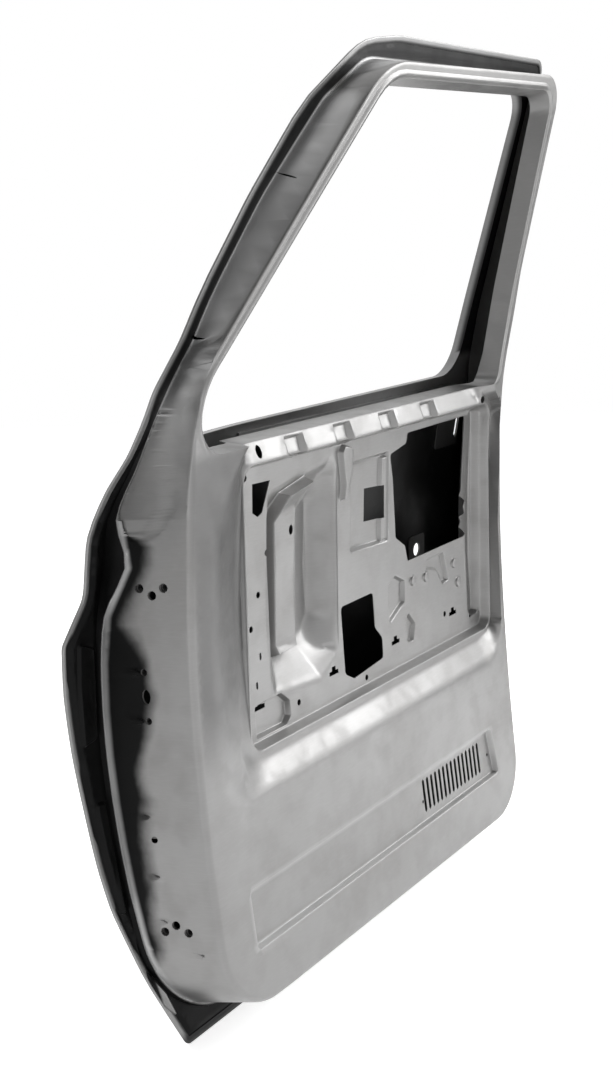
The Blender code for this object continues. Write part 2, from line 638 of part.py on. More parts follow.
def spread(faces, barriers, seed):
    """The faces reached from a seed without crossing a barrier edge."""
    sides = {}
    for i, (a, b, c) in enumerate(faces.tolist()):
        for edge in ((a, b), (b, c), (a, c)):
            sides.setdefault(tuple(sorted(edge)), []).append(i)
    reached, waiting = {seed}, [seed]
    while waiting:
        a, b, c = faces[waiting.pop()].tolist()
        for edge in {tuple(sorted(pair)) for pair in ((a, b), (b, c), (a, c))} - barriers:
            fresh = set(sides[edge]) - reached
            reached |= fresh
            waiting.extend(fresh)
    return sorted(reached)


def metal(name, colour, roughness):
    """A bare steel finish, made once and then shared."""
    found = bpy.data.materials.get(name)
    if found:
        return found
    material = bpy.data.materials.new(name)
    material.use_nodes = True
    shader = material.node_tree.nodes["Principled BSDF"]
    shader.inputs["Base Color"].default_value = (*colour, 1)
    shader.inputs["Roughness"].default_value = roughness
    shader.inputs["Metallic"].default_value = 1.0
    return material


def brace_steel():
    return metal("brace_steel", (0.36, 0.37, 0.38), 0.5)


def part(name, mesh, material, sheet=0.0, grow=1):
    """Links a finished mesh as a node of the door; a bare sheet is given its thickness."""
    obj = bpy.data.objects.new(name, mesh)
    bpy.context.scene.collection.objects.link(obj)
    obj.parent = bpy.data.objects["door_datum"]
    mesh.materials.append(material)
    if sheet:
        solid = obj.modifiers.new("sheet", "SOLIDIFY")
        solid.thickness = sheet
        solid.offset = grow
        solid.use_even_offset = True
    mesh.shade_smooth()
    mesh.set_sharp_from_angle(angle=math.radians(25))
    return obj


def sheet_part(name, faces, points, material, sheet, grow=1):
    mesh = bpy.data.meshes.new(name)
    mesh.from_pydata(points.tolist(), [], faces.tolist())
    return part(name, mesh, material, sheet, grow)


def mesh_part(name, bm, material):
    bmesh.ops.recalc_face_normals(bm, faces=bm.faces)
    mesh = bpy.data.meshes.new(name)
    bm.to_mesh(mesh)
    bm.free()
    return part(name, mesh, material)


def face_line(z):
    """A level line across the panel's inner face, on which the face may bend."""
    x = np.linspace(CREST_RING[:, 0].min(), CREST_RING[:, 0].max(), 200)
    x = x[inside_by(CREST_RING, x, np.full(x.shape, z)) > 0]
    return (x[0], z), (x[-1], z)


def make_inner_panel():
    """The deep-drawn inner panel, one pressing from the window frame to the bottom flange."""
    rings = [CREST_RING, FOOT_RING, LEDGE_RING, RISER_RING, OPENING_RING, HEM_RING, LIFT_RING]
    rings += [ring for step in [*face_steps, *bead_steps] for ring in (step.top, step.floor)]
    lines = [face_line(height_of(h)) for h, _ in CREST_SHARES[2:-1]]
    flat, faces = triangulate(PANEL_EDGE, panel_holes(), rings, lines)
    points = np.stack([flat[:, 0], panel_depth(flat[:, 0], flat[:, 1]), flat[:, 1]], 1)
    steel = metal("panel_steel", (0.5, 0.51, 0.52), 0.38)
    return sheet_part("inner_panel", faces, points, steel, PANEL_SHEET, -1)


def grid_points(boundary, holes):
    """Points between the edges of the skin, so that its bow is smooth."""
    low, high = boundary.min(0), boundary.max(0)
    columns, rows = (np.arange(a, b, ROW_HEIGHT) for a, b in zip(low, high))
    column, z = np.meshgrid(np.arange(len(columns)), rows)
    x = columns[column]
    turning = (x < along_of(PILLAR_FOOT_SHARE) + BOW_REACH) & (z > height_of(BOW_SHARES[0]) - ROW_HEIGHT)
    keep = turning | (column % ROW_STEPS == 0)
    x, z = x[keep], z[keep]
    keep = inside_by(boundary, x, z) > STEP_WALL
    for hole in holes:
        keep &= inside_by(hole, x, z) < -STEP_WALL
    return np.stack([x[keep], z[keep]], 1)


def mirror_spots():
    x, z = along_of(MIRROR_SHARE[0]), height_of(MIRROR_SHARE[1])
    reach = 0.6 * MIRROR_HALF
    return [(x - reach, z - reach), (x + reach, z - reach), (x, z + reach)]


def skin_place(share):
    return along_of(share[0]), height_of(share[1])


def skin_holes():
    """The handle slot, the lock hole and the mirror's three fixing holes."""
    holes = [slot(*skin_place(HANDLE_SLOT_SHARE), HANDLE_SLOT_HALF, HANDLE_SLOT_RADIUS)]
    holes.append(circle(*skin_place(LOCK_HOLE_SHARE), LOCK_RADIUS, LOCK_RADIUS, 16))
    return holes + [circle(x, z, HOLE_RADIUS, HOLE_RADIUS) for x, z in mirror_spots()]


def make_outer_skin():
    """The outer skin, hemmed over the inner panel's flange and turned in round the window."""
    bm = bmesh.new()

    def verts(ring, depth):
        y = skin_at(ring[:, 0], ring[:, 1]) - depth
        return [bm.verts.new(p) for p in zip(ring[:, 0], y, ring[:, 1])]

    def band(loops):
        for a, b in zip(loops, loops[1:]):
            for k in range(len(a)):
                j = (k + 1) % len(a)
                bm.faces.new((a[k], a[j], b[j], b[k]))

    def fold(outline, section):
        """Folds the sheet's edge along an outline: each point of the section is inset and depth."""
        band([verts(outline.inset(inset).ring(), depth) for inset, depth in section])

    sheet, top = SKIN_SHEET, HEM_HEIGHT
    hem = ((0, top), (HEM_WIDTH, top), (HEM_WIDTH, top - sheet), (sheet, top - sheet), (sheet, sheet))
    fold(skin_line, ((0, 0), *hem))
    fold(skin_opening, ((0, 0), (0, RETURN_DEPTH), (-sheet, RETURN_DEPTH), (-sheet, sheet)))
    holes = skin_holes()
    for hole in holes:
        band([verts(hole, 0), verts(hole, sheet)])
    for inset in (0, sheet):
        boundary = skin_line.inset(inset).ring()
        cut = [skin_opening.inset(-inset).ring(), *holes]
        flat, faces = triangulate(boundary, cut, [HEM_RING], inner=grid_points(HEM_RING, cut))
        found = verts(flat, inset)
        for face in faces:
            bm.faces.new([found[k] for k in face])
    bmesh.ops.remove_doubles(bm, verts=bm.verts, dist=1e-6)
    bmesh.ops.dissolve_degenerate(bm, edges=bm.edges, dist=1e-7)
    return mesh_part("outer_skin", bm, metal("skin_steel", (0.47, 0.48, 0.49), 0.42))


def rounded_box(x, z, half_x, half_z, radius):
    corners = ((-1, -1), (1, -1), (1, 1), (-1, 1))
    return Outline([(x + i * half_x, z + j * half_z, radius) for i, j in corners], 2, LONGEST_EDGE / 2)


def wall_plate(name, wall, outline, holes, sheet):
    """A plate spot-welded on the inside of a shut face."""
    rounds = [circle(out, z, a, b, 12) for out, z, a, b in holes]
    flat, faces = triangulate(outline.ring(), rounds)
    points = wall.place(flat[:, 0], flat[:, 1], PANEL_SHEET + CLEARANCE)
    return sheet_part(name, faces, points, brace_steel(), sheet, -wall.side)


def make_nut(name, wall, out, z, plate):
    """A hexagonal weld nut behind a wall plate."""
    hexagon = circle(out, z, NUT_WIDTH / math.sqrt(3), NUT_WIDTH / math.sqrt(3), 6)
    flat, faces = triangulate(hexagon, [circle(out, z, 0.8 * BOLT_RADIUS, 0.8 * BOLT_RADIUS, 12)])
    points = wall.place(flat[:, 0], flat[:, 1], PANEL_SHEET + plate + 2 * CLEARANCE)
    return sheet_part(name, faces, points, brace_steel(), NUT_HEIGHT, -wall.side)


def make_hinge_plates():
    hinges = (
        ("upper_hinge", HINGE_OUT, UPPER_HINGE_SHARE, UPPER_HOLES, 0),
        ("lower_hinge", LOWER_HINGE_OUT, LOWER_HINGE_SHARE, LOWER_HOLES, 1.05 * BOLT_SPACING),
    )
    for name, out, share, holes, lift in hinges:
        middle = out + BOLT_SPACING / 2, height_of(share) + lift
        outline = rounded_box(*middle, 0.85 * BOLT_SPACING, 1.3 * BOLT_SPACING, 4 * HINGE_PLATE)
        wall_plate(f"{name}_reinforcement", HINGE_WALL, outline, holes, HINGE_PLATE)
        for side, place in zip(("inner", "outer"), hinge_bolts(out, share)):
            make_nut(f"{name}_nut_{side}", HINGE_WALL, *place, HINGE_PLATE)


def make_check_plate():
    z = height_of(CHECK_SHARE)
    outline = rounded_box(CHECK_OUT, z, 0.45 * CHECK_SPACING, 0.8 * CHECK_SPACING, PLATE_LIP)
    wall_plate("check_strap_reinforcement", HINGE_WALL, outline, check_holes(), BRACE_SHEET)
    for side, k in (("lower", -1), ("upper", 1)):
        make_nut(f"check_strap_nut_{side}", HINGE_WALL, CHECK_OUT, z + k * CHECK_SPACING / 2, BRACE_SHEET)


def make_latch_plate():
    half = 2 * LATCH_SPACING, 3 * LATCH_SPACING
    outline = rounded_box(LATCH_OUT, height_of(LATCH_SHARE), *half, 2 * PLATE_LIP)
    wall_plate("latch_reinforcement", LOCK_WALL, outline, latch_holes(), BRACE_SHEET)
    for side, (out, z) in zip(("inner", "outer", "lower"), latch_bolts()):
        make_nut(f"latch_nut_{side}", LOCK_WALL, out, z, BRACE_SHEET)


def skin_plate(name, outline, holes, sheet, height=0.0):
    """A plate lying on the inside of the outer skin, its middle raised into a hat."""
    step = Step(outline.inset(2 * SMALL_WALL), height, SMALL_WALL)
    rings = [step.top, step.floor] if height else []
    flat, faces = triangulate(outline.ring(), holes, rings)
    depth = SKIN_SHEET + MASTIC_GAP + step.at(flat[:, 0], flat[:, 1])
    y = skin_at(flat[:, 0], flat[:, 1]) - depth
    return sheet_part(name, faces, np.stack([flat[:, 0], y, flat[:, 1]], 1), brace_steel(), sheet)


def make_skin_plates():
    x, z = skin_place(HANDLE_SLOT_SHARE)
    half = HANDLE_SLOT_HALF + 2 * STEP_WALL
    outline = rounded_box(x - half, z, half + 1.7 * HANDLE_SLOT_RADIUS, half, PLATE_LIP)
    skin_plate("handle_reinforcement", outline, skin_holes()[:1], BRACE_SHEET)
    outline = rounded_box(*skin_place(LOCK_HOLE_SHARE), 2.4 * LOCK_RADIUS, 2.2 * LOCK_RADIUS, PLATE_LIP)
    skin_plate("lock_reinforcement", outline, skin_holes()[1:2], BRACE_SHEET)
    outline = rounded_box(*skin_place(MIRROR_SHARE), MIRROR_HALF, MIRROR_HALF, 2 * PLATE_LIP)
    skin_plate("mirror_reinforcement", outline, skin_holes()[2:], BRACE_SHEET)
    left, right = along_of(PILLAR_FOOT_SHARE) + BOW_REACH, along_of(1.0)
    low, high = height_of(-0.020), height_of(0.058)
    outline = Outline([(left, low, 0), (right, low, 0), (right, high, 0), (left, high, 0)])
    skin_plate("outer_belt_reinforcement", outline, [], BRACE_SHEET, 2 * PLATE_LIP)


def make_inner_belt():
    """An angle welded under the belt flange of the inner panel."""
    belt = height_of(OPENING_SHARES[0][1])
    lean = OPENING_WALL / BELT_TURN
    depth = crest_at(belt) + DISH_DEPTH + BELT_SLOPE
    near, far = depth + 0.75 * POCKET_DEPTH, depth + BELT_TURN - PAD_DEPTH
    under = PANEL_SHEET + CLEARANCE
    profile = [
        (near, belt + (near - depth) * lean - under),
        (far, belt + (far - depth) * lean - under),
        (far, height_of(-0.012)),
    ]
    points = [(x * RECESS_WIDTH, y, z) for x in (0.04, 0.93) for y, z in profile]
    faces = np.array([(0, 3, 4, 1), (1, 4, 5, 2)])
    return sheet_part("inner_belt_reinforcement", faces, np.array(points), brace_steel(), BRACE_SHEET, -1)


def make_beam():
    """A tube across the door below the window glass, on a bracket at each shut face."""
    z = height_of(BEAM_SHARE)
    y = HINGE_WALL.place(BEAM_OUT, z)[1]
    inward = PANEL_SHEET + BRACE_SHEET + 2 * CLEARANCE
    bm = bmesh.new()
    loops = []
    for name, wall in zip(("front", "rear"), WALLS):
        half = 1.7 * BEAM_RADIUS / math.cos(wall.lean)
        outline = rounded_box(wall.out_at(y), z, half, 2.6 * BEAM_RADIUS, PLATE_LIP)
        wall_plate(f"{name}_beam_bracket", wall, outline, [], BRACE_SHEET)
        back = wall.place(0.0, z, inward)
        for radius in (BEAM_RADIUS, BEAM_RADIUS - BEAM_WALL):
            ring = circle(y, z, radius, radius, BEAM_SIDES)
            xs = back[0] + wall.side * (ring[:, 0] - back[1]) * math.tan(wall.lean)
            loops.append([bm.verts.new(p) for p in zip(xs, ring[:, 0], ring[:, 1])])
    for a, b in ((0, 2), (1, 3), (0, 1), (2, 3)):
        for k in range(BEAM_SIDES):
            j = (k + 1) % BEAM_SIDES
            bm.faces.new((loops[a][k], loops[a][j], loops[b][j], loops[b][k]))
    return mesh_part("side_impact_beam", bm, brace_steel())


def main():
    for obj in list(bpy.data.objects):
        bpy.data.objects.remove(obj)
    datum = bpy.data.objects.new("door_datum", None)
    bpy.context.scene.collection.objects.link(datum)
    seat = HINGE_WALL.place(HINGE_OUT + BOLT_SPACING / 2, height_of(UPPER_HINGE_SHARE) + DOWEL_OFFSET)
    datum.location = -seat
    make_inner_panel()
    make_outer_skin()
    make_hinge_plates()
    make_check_plate()
    make_latch_plate()
    make_skin_plates()
    make_inner_belt()
    make_beam()


main()
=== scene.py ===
"""Looks of the bare steel door shell: both pressed skins at full detail, and weathered steel on every piece.

The two skins are sheets of metal pressed from one blank, so each is built as a relief over the door's plane,
from the same driving sizes as the solids: X rearward, Y outward, Z up, in metres from the belt datum.
"""

import math

import bmesh
import bpy
import numpy as np
from mathutils import Matrix, Vector
from mathutils.geometry import delaunay_2d_cdt
from mathutils.kdtree import KDTree


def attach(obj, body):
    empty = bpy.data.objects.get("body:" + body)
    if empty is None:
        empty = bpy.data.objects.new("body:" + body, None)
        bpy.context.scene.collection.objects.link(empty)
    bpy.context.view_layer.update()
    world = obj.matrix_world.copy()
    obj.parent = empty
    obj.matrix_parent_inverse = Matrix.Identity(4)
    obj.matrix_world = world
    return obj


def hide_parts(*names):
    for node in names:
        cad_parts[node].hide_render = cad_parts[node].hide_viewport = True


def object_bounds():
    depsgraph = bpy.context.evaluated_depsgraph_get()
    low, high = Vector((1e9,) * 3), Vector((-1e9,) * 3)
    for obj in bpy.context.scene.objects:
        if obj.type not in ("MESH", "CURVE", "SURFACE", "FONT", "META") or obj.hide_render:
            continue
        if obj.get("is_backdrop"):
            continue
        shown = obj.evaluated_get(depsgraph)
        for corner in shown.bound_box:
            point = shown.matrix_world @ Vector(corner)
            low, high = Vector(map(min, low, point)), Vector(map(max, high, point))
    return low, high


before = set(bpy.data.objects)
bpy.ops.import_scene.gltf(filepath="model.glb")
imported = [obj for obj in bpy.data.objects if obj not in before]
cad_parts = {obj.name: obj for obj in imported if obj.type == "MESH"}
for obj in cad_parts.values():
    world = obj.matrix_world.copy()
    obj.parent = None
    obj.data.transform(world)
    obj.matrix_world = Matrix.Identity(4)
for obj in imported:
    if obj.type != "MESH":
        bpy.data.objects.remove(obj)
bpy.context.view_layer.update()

# Driving sizes of the whole door
PANEL_WIDTH = 0.846  # hinge-side crease to lock-side crease of the inner panel
PANEL_DROP = 0.672  # belt line down to the bottom crease
FRAME_RISE = 0.486  # belt line up to the crest of the window frame
HINGE_CREASE = -0.130  # where the inner face turns into the hinge face
CREASE_DEPTH = -0.004
RECESS_WIDTH = 0.700
RECESS_DROP = 0.370
DOOR_DEPTH = 0.133  # inner face to outer skin where the door is thickest
PILLAR_BOW = 0.046  # how far the skin turns in towards the windscreen pillar
BOW_REACH = 0.260
HINGE_LEAN = math.radians(12.5)
LOCK_LEAN = math.radians(36.0)

# Sheet metal
PANEL_SHEET = 0.0012
SKIN_SHEET = 0.0010
CLEARANCE = 0.0003
MASTIC_GAP = 0.0007  # sealer between the outer skin and a plate behind it
HEM_WIDTH = 0.009
HEM_SLACK = 0.0014  # from the edge of the flange to the fold of the hem round it
FLANGE_LIFT_SHARE = 0.3  # how far the flange stands off the skin inside the hem, as a share of the ledge
LIFT_WIDTH = 0.006
RETURN_DEPTH = 0.016  # edge turned in round the window in the outer skin
SEAT_GAP = SKIN_SHEET + MASTIC_GAP  # from the skin's outer face to the flange that it is folded over
HEM_HEIGHT = SEAT_GAP + PANEL_SHEET + CLEARANCE + SKIN_SHEET

# Depths drawn into the inner panel
DISH_DEPTH = 0.018
RECESS_DEPTH = 0.016
RECESS_WALL = 0.007
LEDGE_DEPTH = 0.012  # skin up to the ledge at the foot of the side walls
FRAME_LEDGE = 0.004  # the same ledge in the window frame
LEDGE_WIDTH = 0.003
RISER_WIDTH = 0.002
OPENING_WALL = 0.005  # how far the window opening's turned edge leans
OPENING_TURN = 0.030  # how deep that edge is in the window frame
BELT_TURN = 0.036  # and how deep it is along the belt
BELT_SLOPE = 0.010
STRIP_SHARE = 0.945  # how far rearward the sloping strip below the belt runs
JOGGLE_RISE = 0.024
PAN_DEPTH = 0.036
POST_RISE = 0.024
POST_WALL = 0.007
PAD_DEPTH = 0.008
DROP_DEPTH = 0.006
LOWER_BOX_DEPTH = 0.009
BEAD_DEPTH = 0.0035
BOSS_HEIGHT = 0.0035
POCKET_DEPTH = 0.008
STEP_WALL = 0.006  # lean of an ordinary pressed step
SMALL_WALL = 0.004

# Holes and fixings
HOLE_RADIUS = 0.0045
SLOT_HALF = 0.0055
SLOT_RADIUS = 0.0022
BOSS_RADIUS = 0.0085
TEE_WIDTH = 0.024
TEE_HEIGHT = 0.012
TEE_STEM = 0.010
VENT_SLOTS = 15
BOLT_RADIUS = 0.0058
BOLT_SPACING = 0.032
DOWEL_OFFSET = 0.009
CHECK_SPACING = 0.060
LATCH_REACH = 0.017
LATCH_RISE = 0.030
LATCH_SPACING = 0.024
HANDLE_SLOT_HALF = 0.018
HANDLE_SLOT_RADIUS = 0.0055
LOCK_RADIUS = 0.011
MIRROR_HALF = 0.034
LONGEST_EDGE = 0.022  # longest straight run left undivided along a curved edge
ARC_STEPS = 9

# Finer forms that only the looks need
CREASE_RADIUS = 0.009  # bend between the inner face and a side wall, below the belt
FRAME_RADIUS = 0.004  # the same bend round the window frame
CREASE_RING_SHARES = (0.80, 0.60, 0.45, 0.30, 0.18, 0.08, 0.0, -0.08, -0.17)
BEAD_OFFSET = 0.0055  # window bead's crown, outside the opening
BEAD_HALF = 0.0050
BEAD_RISE = 0.0030
BEAD_RING_SHARES = (-1.0, -0.6, -0.25, 0.25, 0.6, 1.0)
PRESS_SINK = 0.0030  # the leaf-shaped press at the foot of the windscreen pillar
PRESS_WALL = 0.006
SHOULDER_DROP = 0.0028  # a soft facet beside the hinge-side crease
SHOULDER_WIDTH = 0.036
HANDLE_BEAD_RISE = 0.005
COARSE = 0.010  # spacing of the panel's points on plain faces
FINE = 0.0042  # and in the service recess
WALL_STEP = 0.0045  # and across the hinge face
WALL_STRETCH = 1.6  # and down it, in steps across
PRESS_STEP = 0.0016  # and in its leaf-shaped press
SKIN_SPACING = 0.012  # and in the outer skin
FAR_REACH = 0.030  # past this a point's distance outside a ring is only estimated
CHUNK = 6000  # points measured at once

# Painted light, shade and dark reflections that the panel's finish takes from its mesh
PAINTED_DARK_SOFT_SHARE = 0.14  # width of the soft edge of the painted dark reflection on the hinge face
PAD_LIT_SHARE = 0.80  # how much less of the channel's painted shade the raised pads in it get
TONE_START = 0.0005  # from the crest to where the painted light on the pillar's face starts
TONE_SOFT = 0.0020
SLOPE_SOFT = 0.012  # the soft front edge of the painted dark reflection on the slope beside the recess
SLOPE_FADE = 0.010  # and its rear edge
SLOPE_END_SHARE = 0.02
SLOPE_SHARES = (-0.580, -0.400, 0.090)  # heights where that slope starts, is full and ends
LINE_REACH = 0.010  # the painted highlight along the lower press: how far round its corner it goes
LINE_HALF = 0.0026
LINE_SOFT = 0.0018

# Camera and light
SENSOR = 36.0
LENS = 51.77
CAMERA_PLACE = (-1.402, -1.118, 0.341)
CAMERA_AXES = ((0.5254, -0.8467, -0.0835), (0.1886, 0.0202, 0.9818), (-0.8297, -0.5316, 0.1703))
WHITE = (1.0, 1.0, 1.0, 1.0)
WORLD_LEVEL = 0.28
FLOOR_SIZE = 14.0
FLOOR_GLOW = 0.72
LAMPS = (  # place, target, width, height and power
    ("key_softbox", (2.6, -1.6, 2.2), (0.4, 0.0, -0.1), 2.3, 1.7, 74.0),
    ("right_softbox", (3.2, -2.4, 0.9), (0.4, 0.0, 0.0), 2.0, 1.2, 42.0),
    ("side_softbox", (-3.0, -1.2, 0.0), (0.2, 0.0, -0.1), 1.2, 2.4, 7.0),
    ("back_softbox", (1.2, 3.0, 1.6), (0.35, 0.1, 0.0), 2.2, 2.2, 50.0),
)
FLAGS = (  # place, target, width and height
    ("ceiling_flag", (-0.9, -0.6, 2.6), (0.2, 0.0, 0.0), 3.4, 3.0),
    ("right_flag", (2.00, -0.08, 0.22), (0.0, 0.0, 0.2), 1.3, 1.7),
    ("side_flag", (-3.3, 0.6, 0.4), (0.0, 0.0, 0.0), 1.8, 2.2),
)

# Steel: base level, roughness and metallic share
PANEL_LEVEL = 0.27
SKIN_LEVEL = 0.26
SATIN = 0.36
METALLIC = 0.72

# Height profiles of the two skins. Heights are shares of the drop below the belt or of the rise
# above it, and depths are shares of the door's depth.
CREST_SHARES = (
    (-1.19, -0.165), (-1.04, -0.090), (-0.83, -0.008), (-0.66, 0.026), (-0.48, 0.030),
    (-0.28, -0.008), (-0.15, -0.068), (-0.03, -0.135), (0.062, -0.180), (0.30, -0.382),
    (0.60, -0.632), (1.13, -1.080),
)
SKIN_SHARES = (
    (-1.19, 0.450), (-1.04, 0.660), (-0.89, 0.830), (-0.74, 0.955), (-0.60, 1.015),
    (-0.45, 1.030), (-0.30, 0.978), (-0.15, 0.842), (0.0, 0.654), (0.206, 0.421),
    (0.60, -0.034), (1.13, -0.647),
)
BOW_SHARES = (-0.09, 0.25, 0.33, 0.90)  # heights where the bow starts, is full, fades and ends
PILLAR_SLOPE = 0.75  # how far the windscreen pillar runs rearward for each metre up
PILLAR_FOOT_SHARE = -0.024

# Outlines of the whole door: along it, up it, and corner radius, as shares of width and of drop or rise
CREST_TOP_SHARES = (
    (1.000, 0.410, 0.300), (1.061, 1.002, 0.053), (0.410, 0.978, 0.160), (0.009, 0.248, 0.130),
)
CORNER_SHARE = 0.112
OPENING_SHARES = (
    (0.012, 0.052, 0.085), (0.968, 0.054, 0.030), (0.970, 0.330, 0.300), (1.026, 0.955, 0.036),
    (0.424, 0.938, 0.106), (0.019, 0.222, 0.130),
)
SKIN_OPENING_SHARES = (
    (0.010, 0.084, 0.085), (0.985, 0.095, 0.060), (0.998, 0.350, 0.300), (1.036, 0.972, 0.046),
    (0.420, 0.948, 0.106), (0.016, 0.229, 0.130),
)
FOOT_DROP_SHARE = -1.027
FOOT_CORNER_SHARES = (0.152, 0.140)
FOOT_TOP_SHARES = (
    (1.062, 0.300, 0.200), (1.087, 1.018, 0.050), (0.457, 1.005, 0.100), (0.358, 0.899, 0.100),
    (0.203, 0.651, 0.300), (0.083, 0.419, 0.500), (0.002, 0.208, 0.100), (-0.008, 0.030, 0.100),
)
SKIN_LINE_SHARES = (
    (0.013, -1.068, 0.012), (1.145, -1.068, 0.080), (1.146, -0.250, 0.300), (1.112, 0.060, 0.200),
    (1.116, 1.070, 0.030), (0.550, 1.072, 0.200), (0.440, 1.050, 0.150), (0.297, 0.878, 0.300),
    (0.171, 0.661, 0.400), (0.063, 0.447, 0.400), (-0.027, 0.222, 0.050), (-0.029, 0.070, 0.060),
    (-0.045, -0.002, 0.060), (-0.062, -0.090, 0.060), (-0.061, -0.190, 0.040), (-0.104, -0.266, 0.020),
    (-0.102, -0.360, 0.100), (-0.095, -0.460, 0.000), (-0.085, -0.572, 0.000), (-0.076, -0.688, 0.300),
    (-0.066, -0.771, 0.150), (-0.033, -0.918, 0.300),
)
DISH_SHARES = (
    (0.028, -0.626, 0.075), (0.985, -0.626, 0.070), (0.993, -0.020, 0.010), (0.950, 0.062, 0.010),
    (0.950, 0.220, 0.000), (0.150, 0.220, 0.000), (0.150, 0.090, 0.020), (0.045, -0.080, 0.050),
)
LOWER_BOX_SHARES = (
    (0.078, -0.895, 0.008), (0.916, -0.892, 0.008), (0.904, -0.776, 0.008), (0.078, -0.777, 0.008),
)
VENT_SHARES = (0.632, 0.866, -0.796, -0.872)  # front, rear, top and bottom of the grille
VENT_SLOT_SHARE = 0.52  # slot width over slot pitch
FLANGE_BEAD_SHARES = (
    ((-0.079, -0.345), (-0.078, -0.462), (-0.044, -0.455), (-0.042, -0.285), (-0.078, -0.265)),
    (
        (-0.067, -0.585), (-0.063, -0.660), (-0.057, -0.770), (-0.049, -0.792), (-0.042, -0.780),
        (-0.043, -0.640), (-0.045, -0.570), (-0.066, -0.566),
    ),
    (
        (-0.031, -0.930), (-0.014, -0.980), (0.006, -1.012), (0.009, -1.002), (-0.002, -0.955),
        (-0.027, -0.897), (-0.036, -0.872),
    ),
)

# Outlines in the service recess, as shares of its width and of its drop
RECESS_SHARES = ((0.001, 1.000), (1.006, 1.000), (1.006, 0.004), (0.001, 0.004))
DISH_FLOOR_SHARES = (
    (-0.003, 1.008), (1.010, 1.008), (1.010, 0.000), (0.945, -0.060), (0.945, -0.270), (0.020, -0.270),
    (0.020, -0.050), (-0.003, -0.004),
)
GROOVE_SHARES = ((0.935, 0.935), (0.996, 0.935), (0.996, 0.020), (0.935, 0.020))
PAN_SHARES = (
    (0.110, 0.860), (0.290, 0.900), (0.357, 0.800), (0.359, 0.080), (0.336, 0.048), (0.110, 0.120),
)
PAN_FLOOR_SHARES = (
    (0.125, 0.690), (0.300, 0.690), (0.322, 0.640), (0.322, 0.220), (0.290, 0.200), (0.125, 0.260),
)
POST_SHARES = ((0.158, 0.720), (0.228, 0.718), (0.237, 0.120), (0.167, 0.150))
HATCH_SHARES = (
    (0.658, 0.573), (0.931, 0.568), (0.950, 0.511), (0.926, 0.438), (0.950, 0.376), (0.957, 0.062),
    (0.951, 0.044), (0.650, 0.049), (0.645, 0.090), (0.576, 0.116), (0.590, 0.216), (0.606, 0.459),
    (0.647, 0.505),
)
ACCESS_SHARES = (
    (0.376, 0.905), (0.410, 0.938), (0.533, 0.916), (0.533, 0.832), (0.506, 0.781), (0.503, 0.638),
    (0.373, 0.641),
)
CORNER_HOLE_SHARES = ((0.064, 0.178), (0.082, 0.197), (0.096, 0.186), (0.121, 0.081), (0.063, 0.078))
HANDLE_PAN_SHARES = ((0.416, 0.451), (0.574, 0.462), (0.574, 0.097), (0.413, 0.100))
HANDLE_HOLE_SHARES = ((0.489, 0.354), (0.563, 0.362), (0.561, 0.232), (0.489, 0.224))
FINGER_SHARES = (
    (0.361, 0.303), (0.396, 0.200), (0.410, 0.127), (0.410, 0.040), (0.374, 0.020), (0.361, 0.050),
    (0.376, 0.178),
)
CORNER_PAD_SHARES = (
    (0.049, 0.975), (0.151, 0.978), (0.169, 0.951), (0.169, 0.892), (0.141, 0.851), (0.049, 0.854),
)
DROP_SHARES = (
    ((0.568, 0.800), (0.614, 0.757), (0.640, 0.738), (0.644, 0.646), (0.601, 0.608), (0.568, 0.640)),
    ((0.641, 0.905), (0.669, 0.913), (0.683, 0.843), (0.652, 0.781), (0.640, 0.811)),
    ((0.794, 0.665), (0.815, 0.735), (0.850, 0.730), (0.826, 0.597), (0.743, 0.600), (0.743, 0.643)),
)
POCKET_SHARES = (0.150, 0.324, 0.502, 0.680)  # front edges of the clip pockets along the belt
POCKET_WIDTH_SHARE = 0.066
FLOOR_HOLE_SHARES = (
    (0.039, 0.051), (0.054, 0.581), (0.199, 0.919), (0.459, 0.959), (0.946, 0.924), (0.820, 0.865),
    (0.110, 0.332), (0.081, 0.470),
)
FLOOR_SLOT_SHARES = ((0.080, 0.689), (0.063, 0.786), (0.944, 0.803))
BOSS_SHARES = ((0.676, 0.662), (0.873, 0.665), (0.736, 0.670), (0.890, 0.754))
TEE_SHARES = ((0.082, 0.868), (0.333, 0.868), (0.589, 0.870), (0.859, 0.870))

# Fixings on the shut faces: how far out from the crease, and at what share of the drop
HINGE_OUT = 0.034
UPPER_HINGE_SHARE = -0.182
LOWER_HINGE_OUT = 0.047
LOWER_HINGE_SHARE = -0.822
CHECK_OUT = 0.071
CHECK_SHARE = -0.379
SPARE_OUT = 0.080
SPARE_SHARE = -0.646
LATCH_OUT = 0.062
LATCH_SHARE = -0.330

# Fixings on the outer skin, as shares of the panel's width and drop
HANDLE_SLOT_SHARE = (1.067, -0.071)
LOCK_HOLE_SHARE = (0.943, -0.353)
MIRROR_SHARE = (0.062, -0.150)

# The leaf-shaped press at the pillar's foot: height, and how deep its two edges lie past the crest
PRESS_SHARES = (
    (-0.100, 0.420, 0.560), (-0.080, 0.300, 0.640), (-0.042, 0.190, 0.710), (0.016, 0.196, 0.580),
    (0.043, 0.210, 0.555), (0.107, 0.233, 0.480), (0.128, 0.248, 0.450), (0.152, 0.270, 0.415),
    (0.218, 0.350, 0.352),
)
# Corners of the area round it with close points: shares of the crease's distance, and heights
PRESS_AREA_SHARES = ((1.28, -0.10), (0.78, 4.4 * OPENING_SHARES[0][1]))
# Corners of the area of the service recess with close points
FINE_AREA_SHARES = ((-0.05, 1.06), (1.05, -0.08))
# Dimples on the hinge face: distance out from the crease, height, size and rise
DIMPLE_SHARES = (
    (0.646, -0.334, 0.045, 0.0150), (0.648, -0.424, 0.045, 0.0150), (0.700, -0.604, 0.045, 0.0150),
    (0.665, -0.718, 0.045, 0.0150), (0.634, -0.805, 0.045, 0.0150), (0.274, -0.867, 0.045, 0.0150),
)
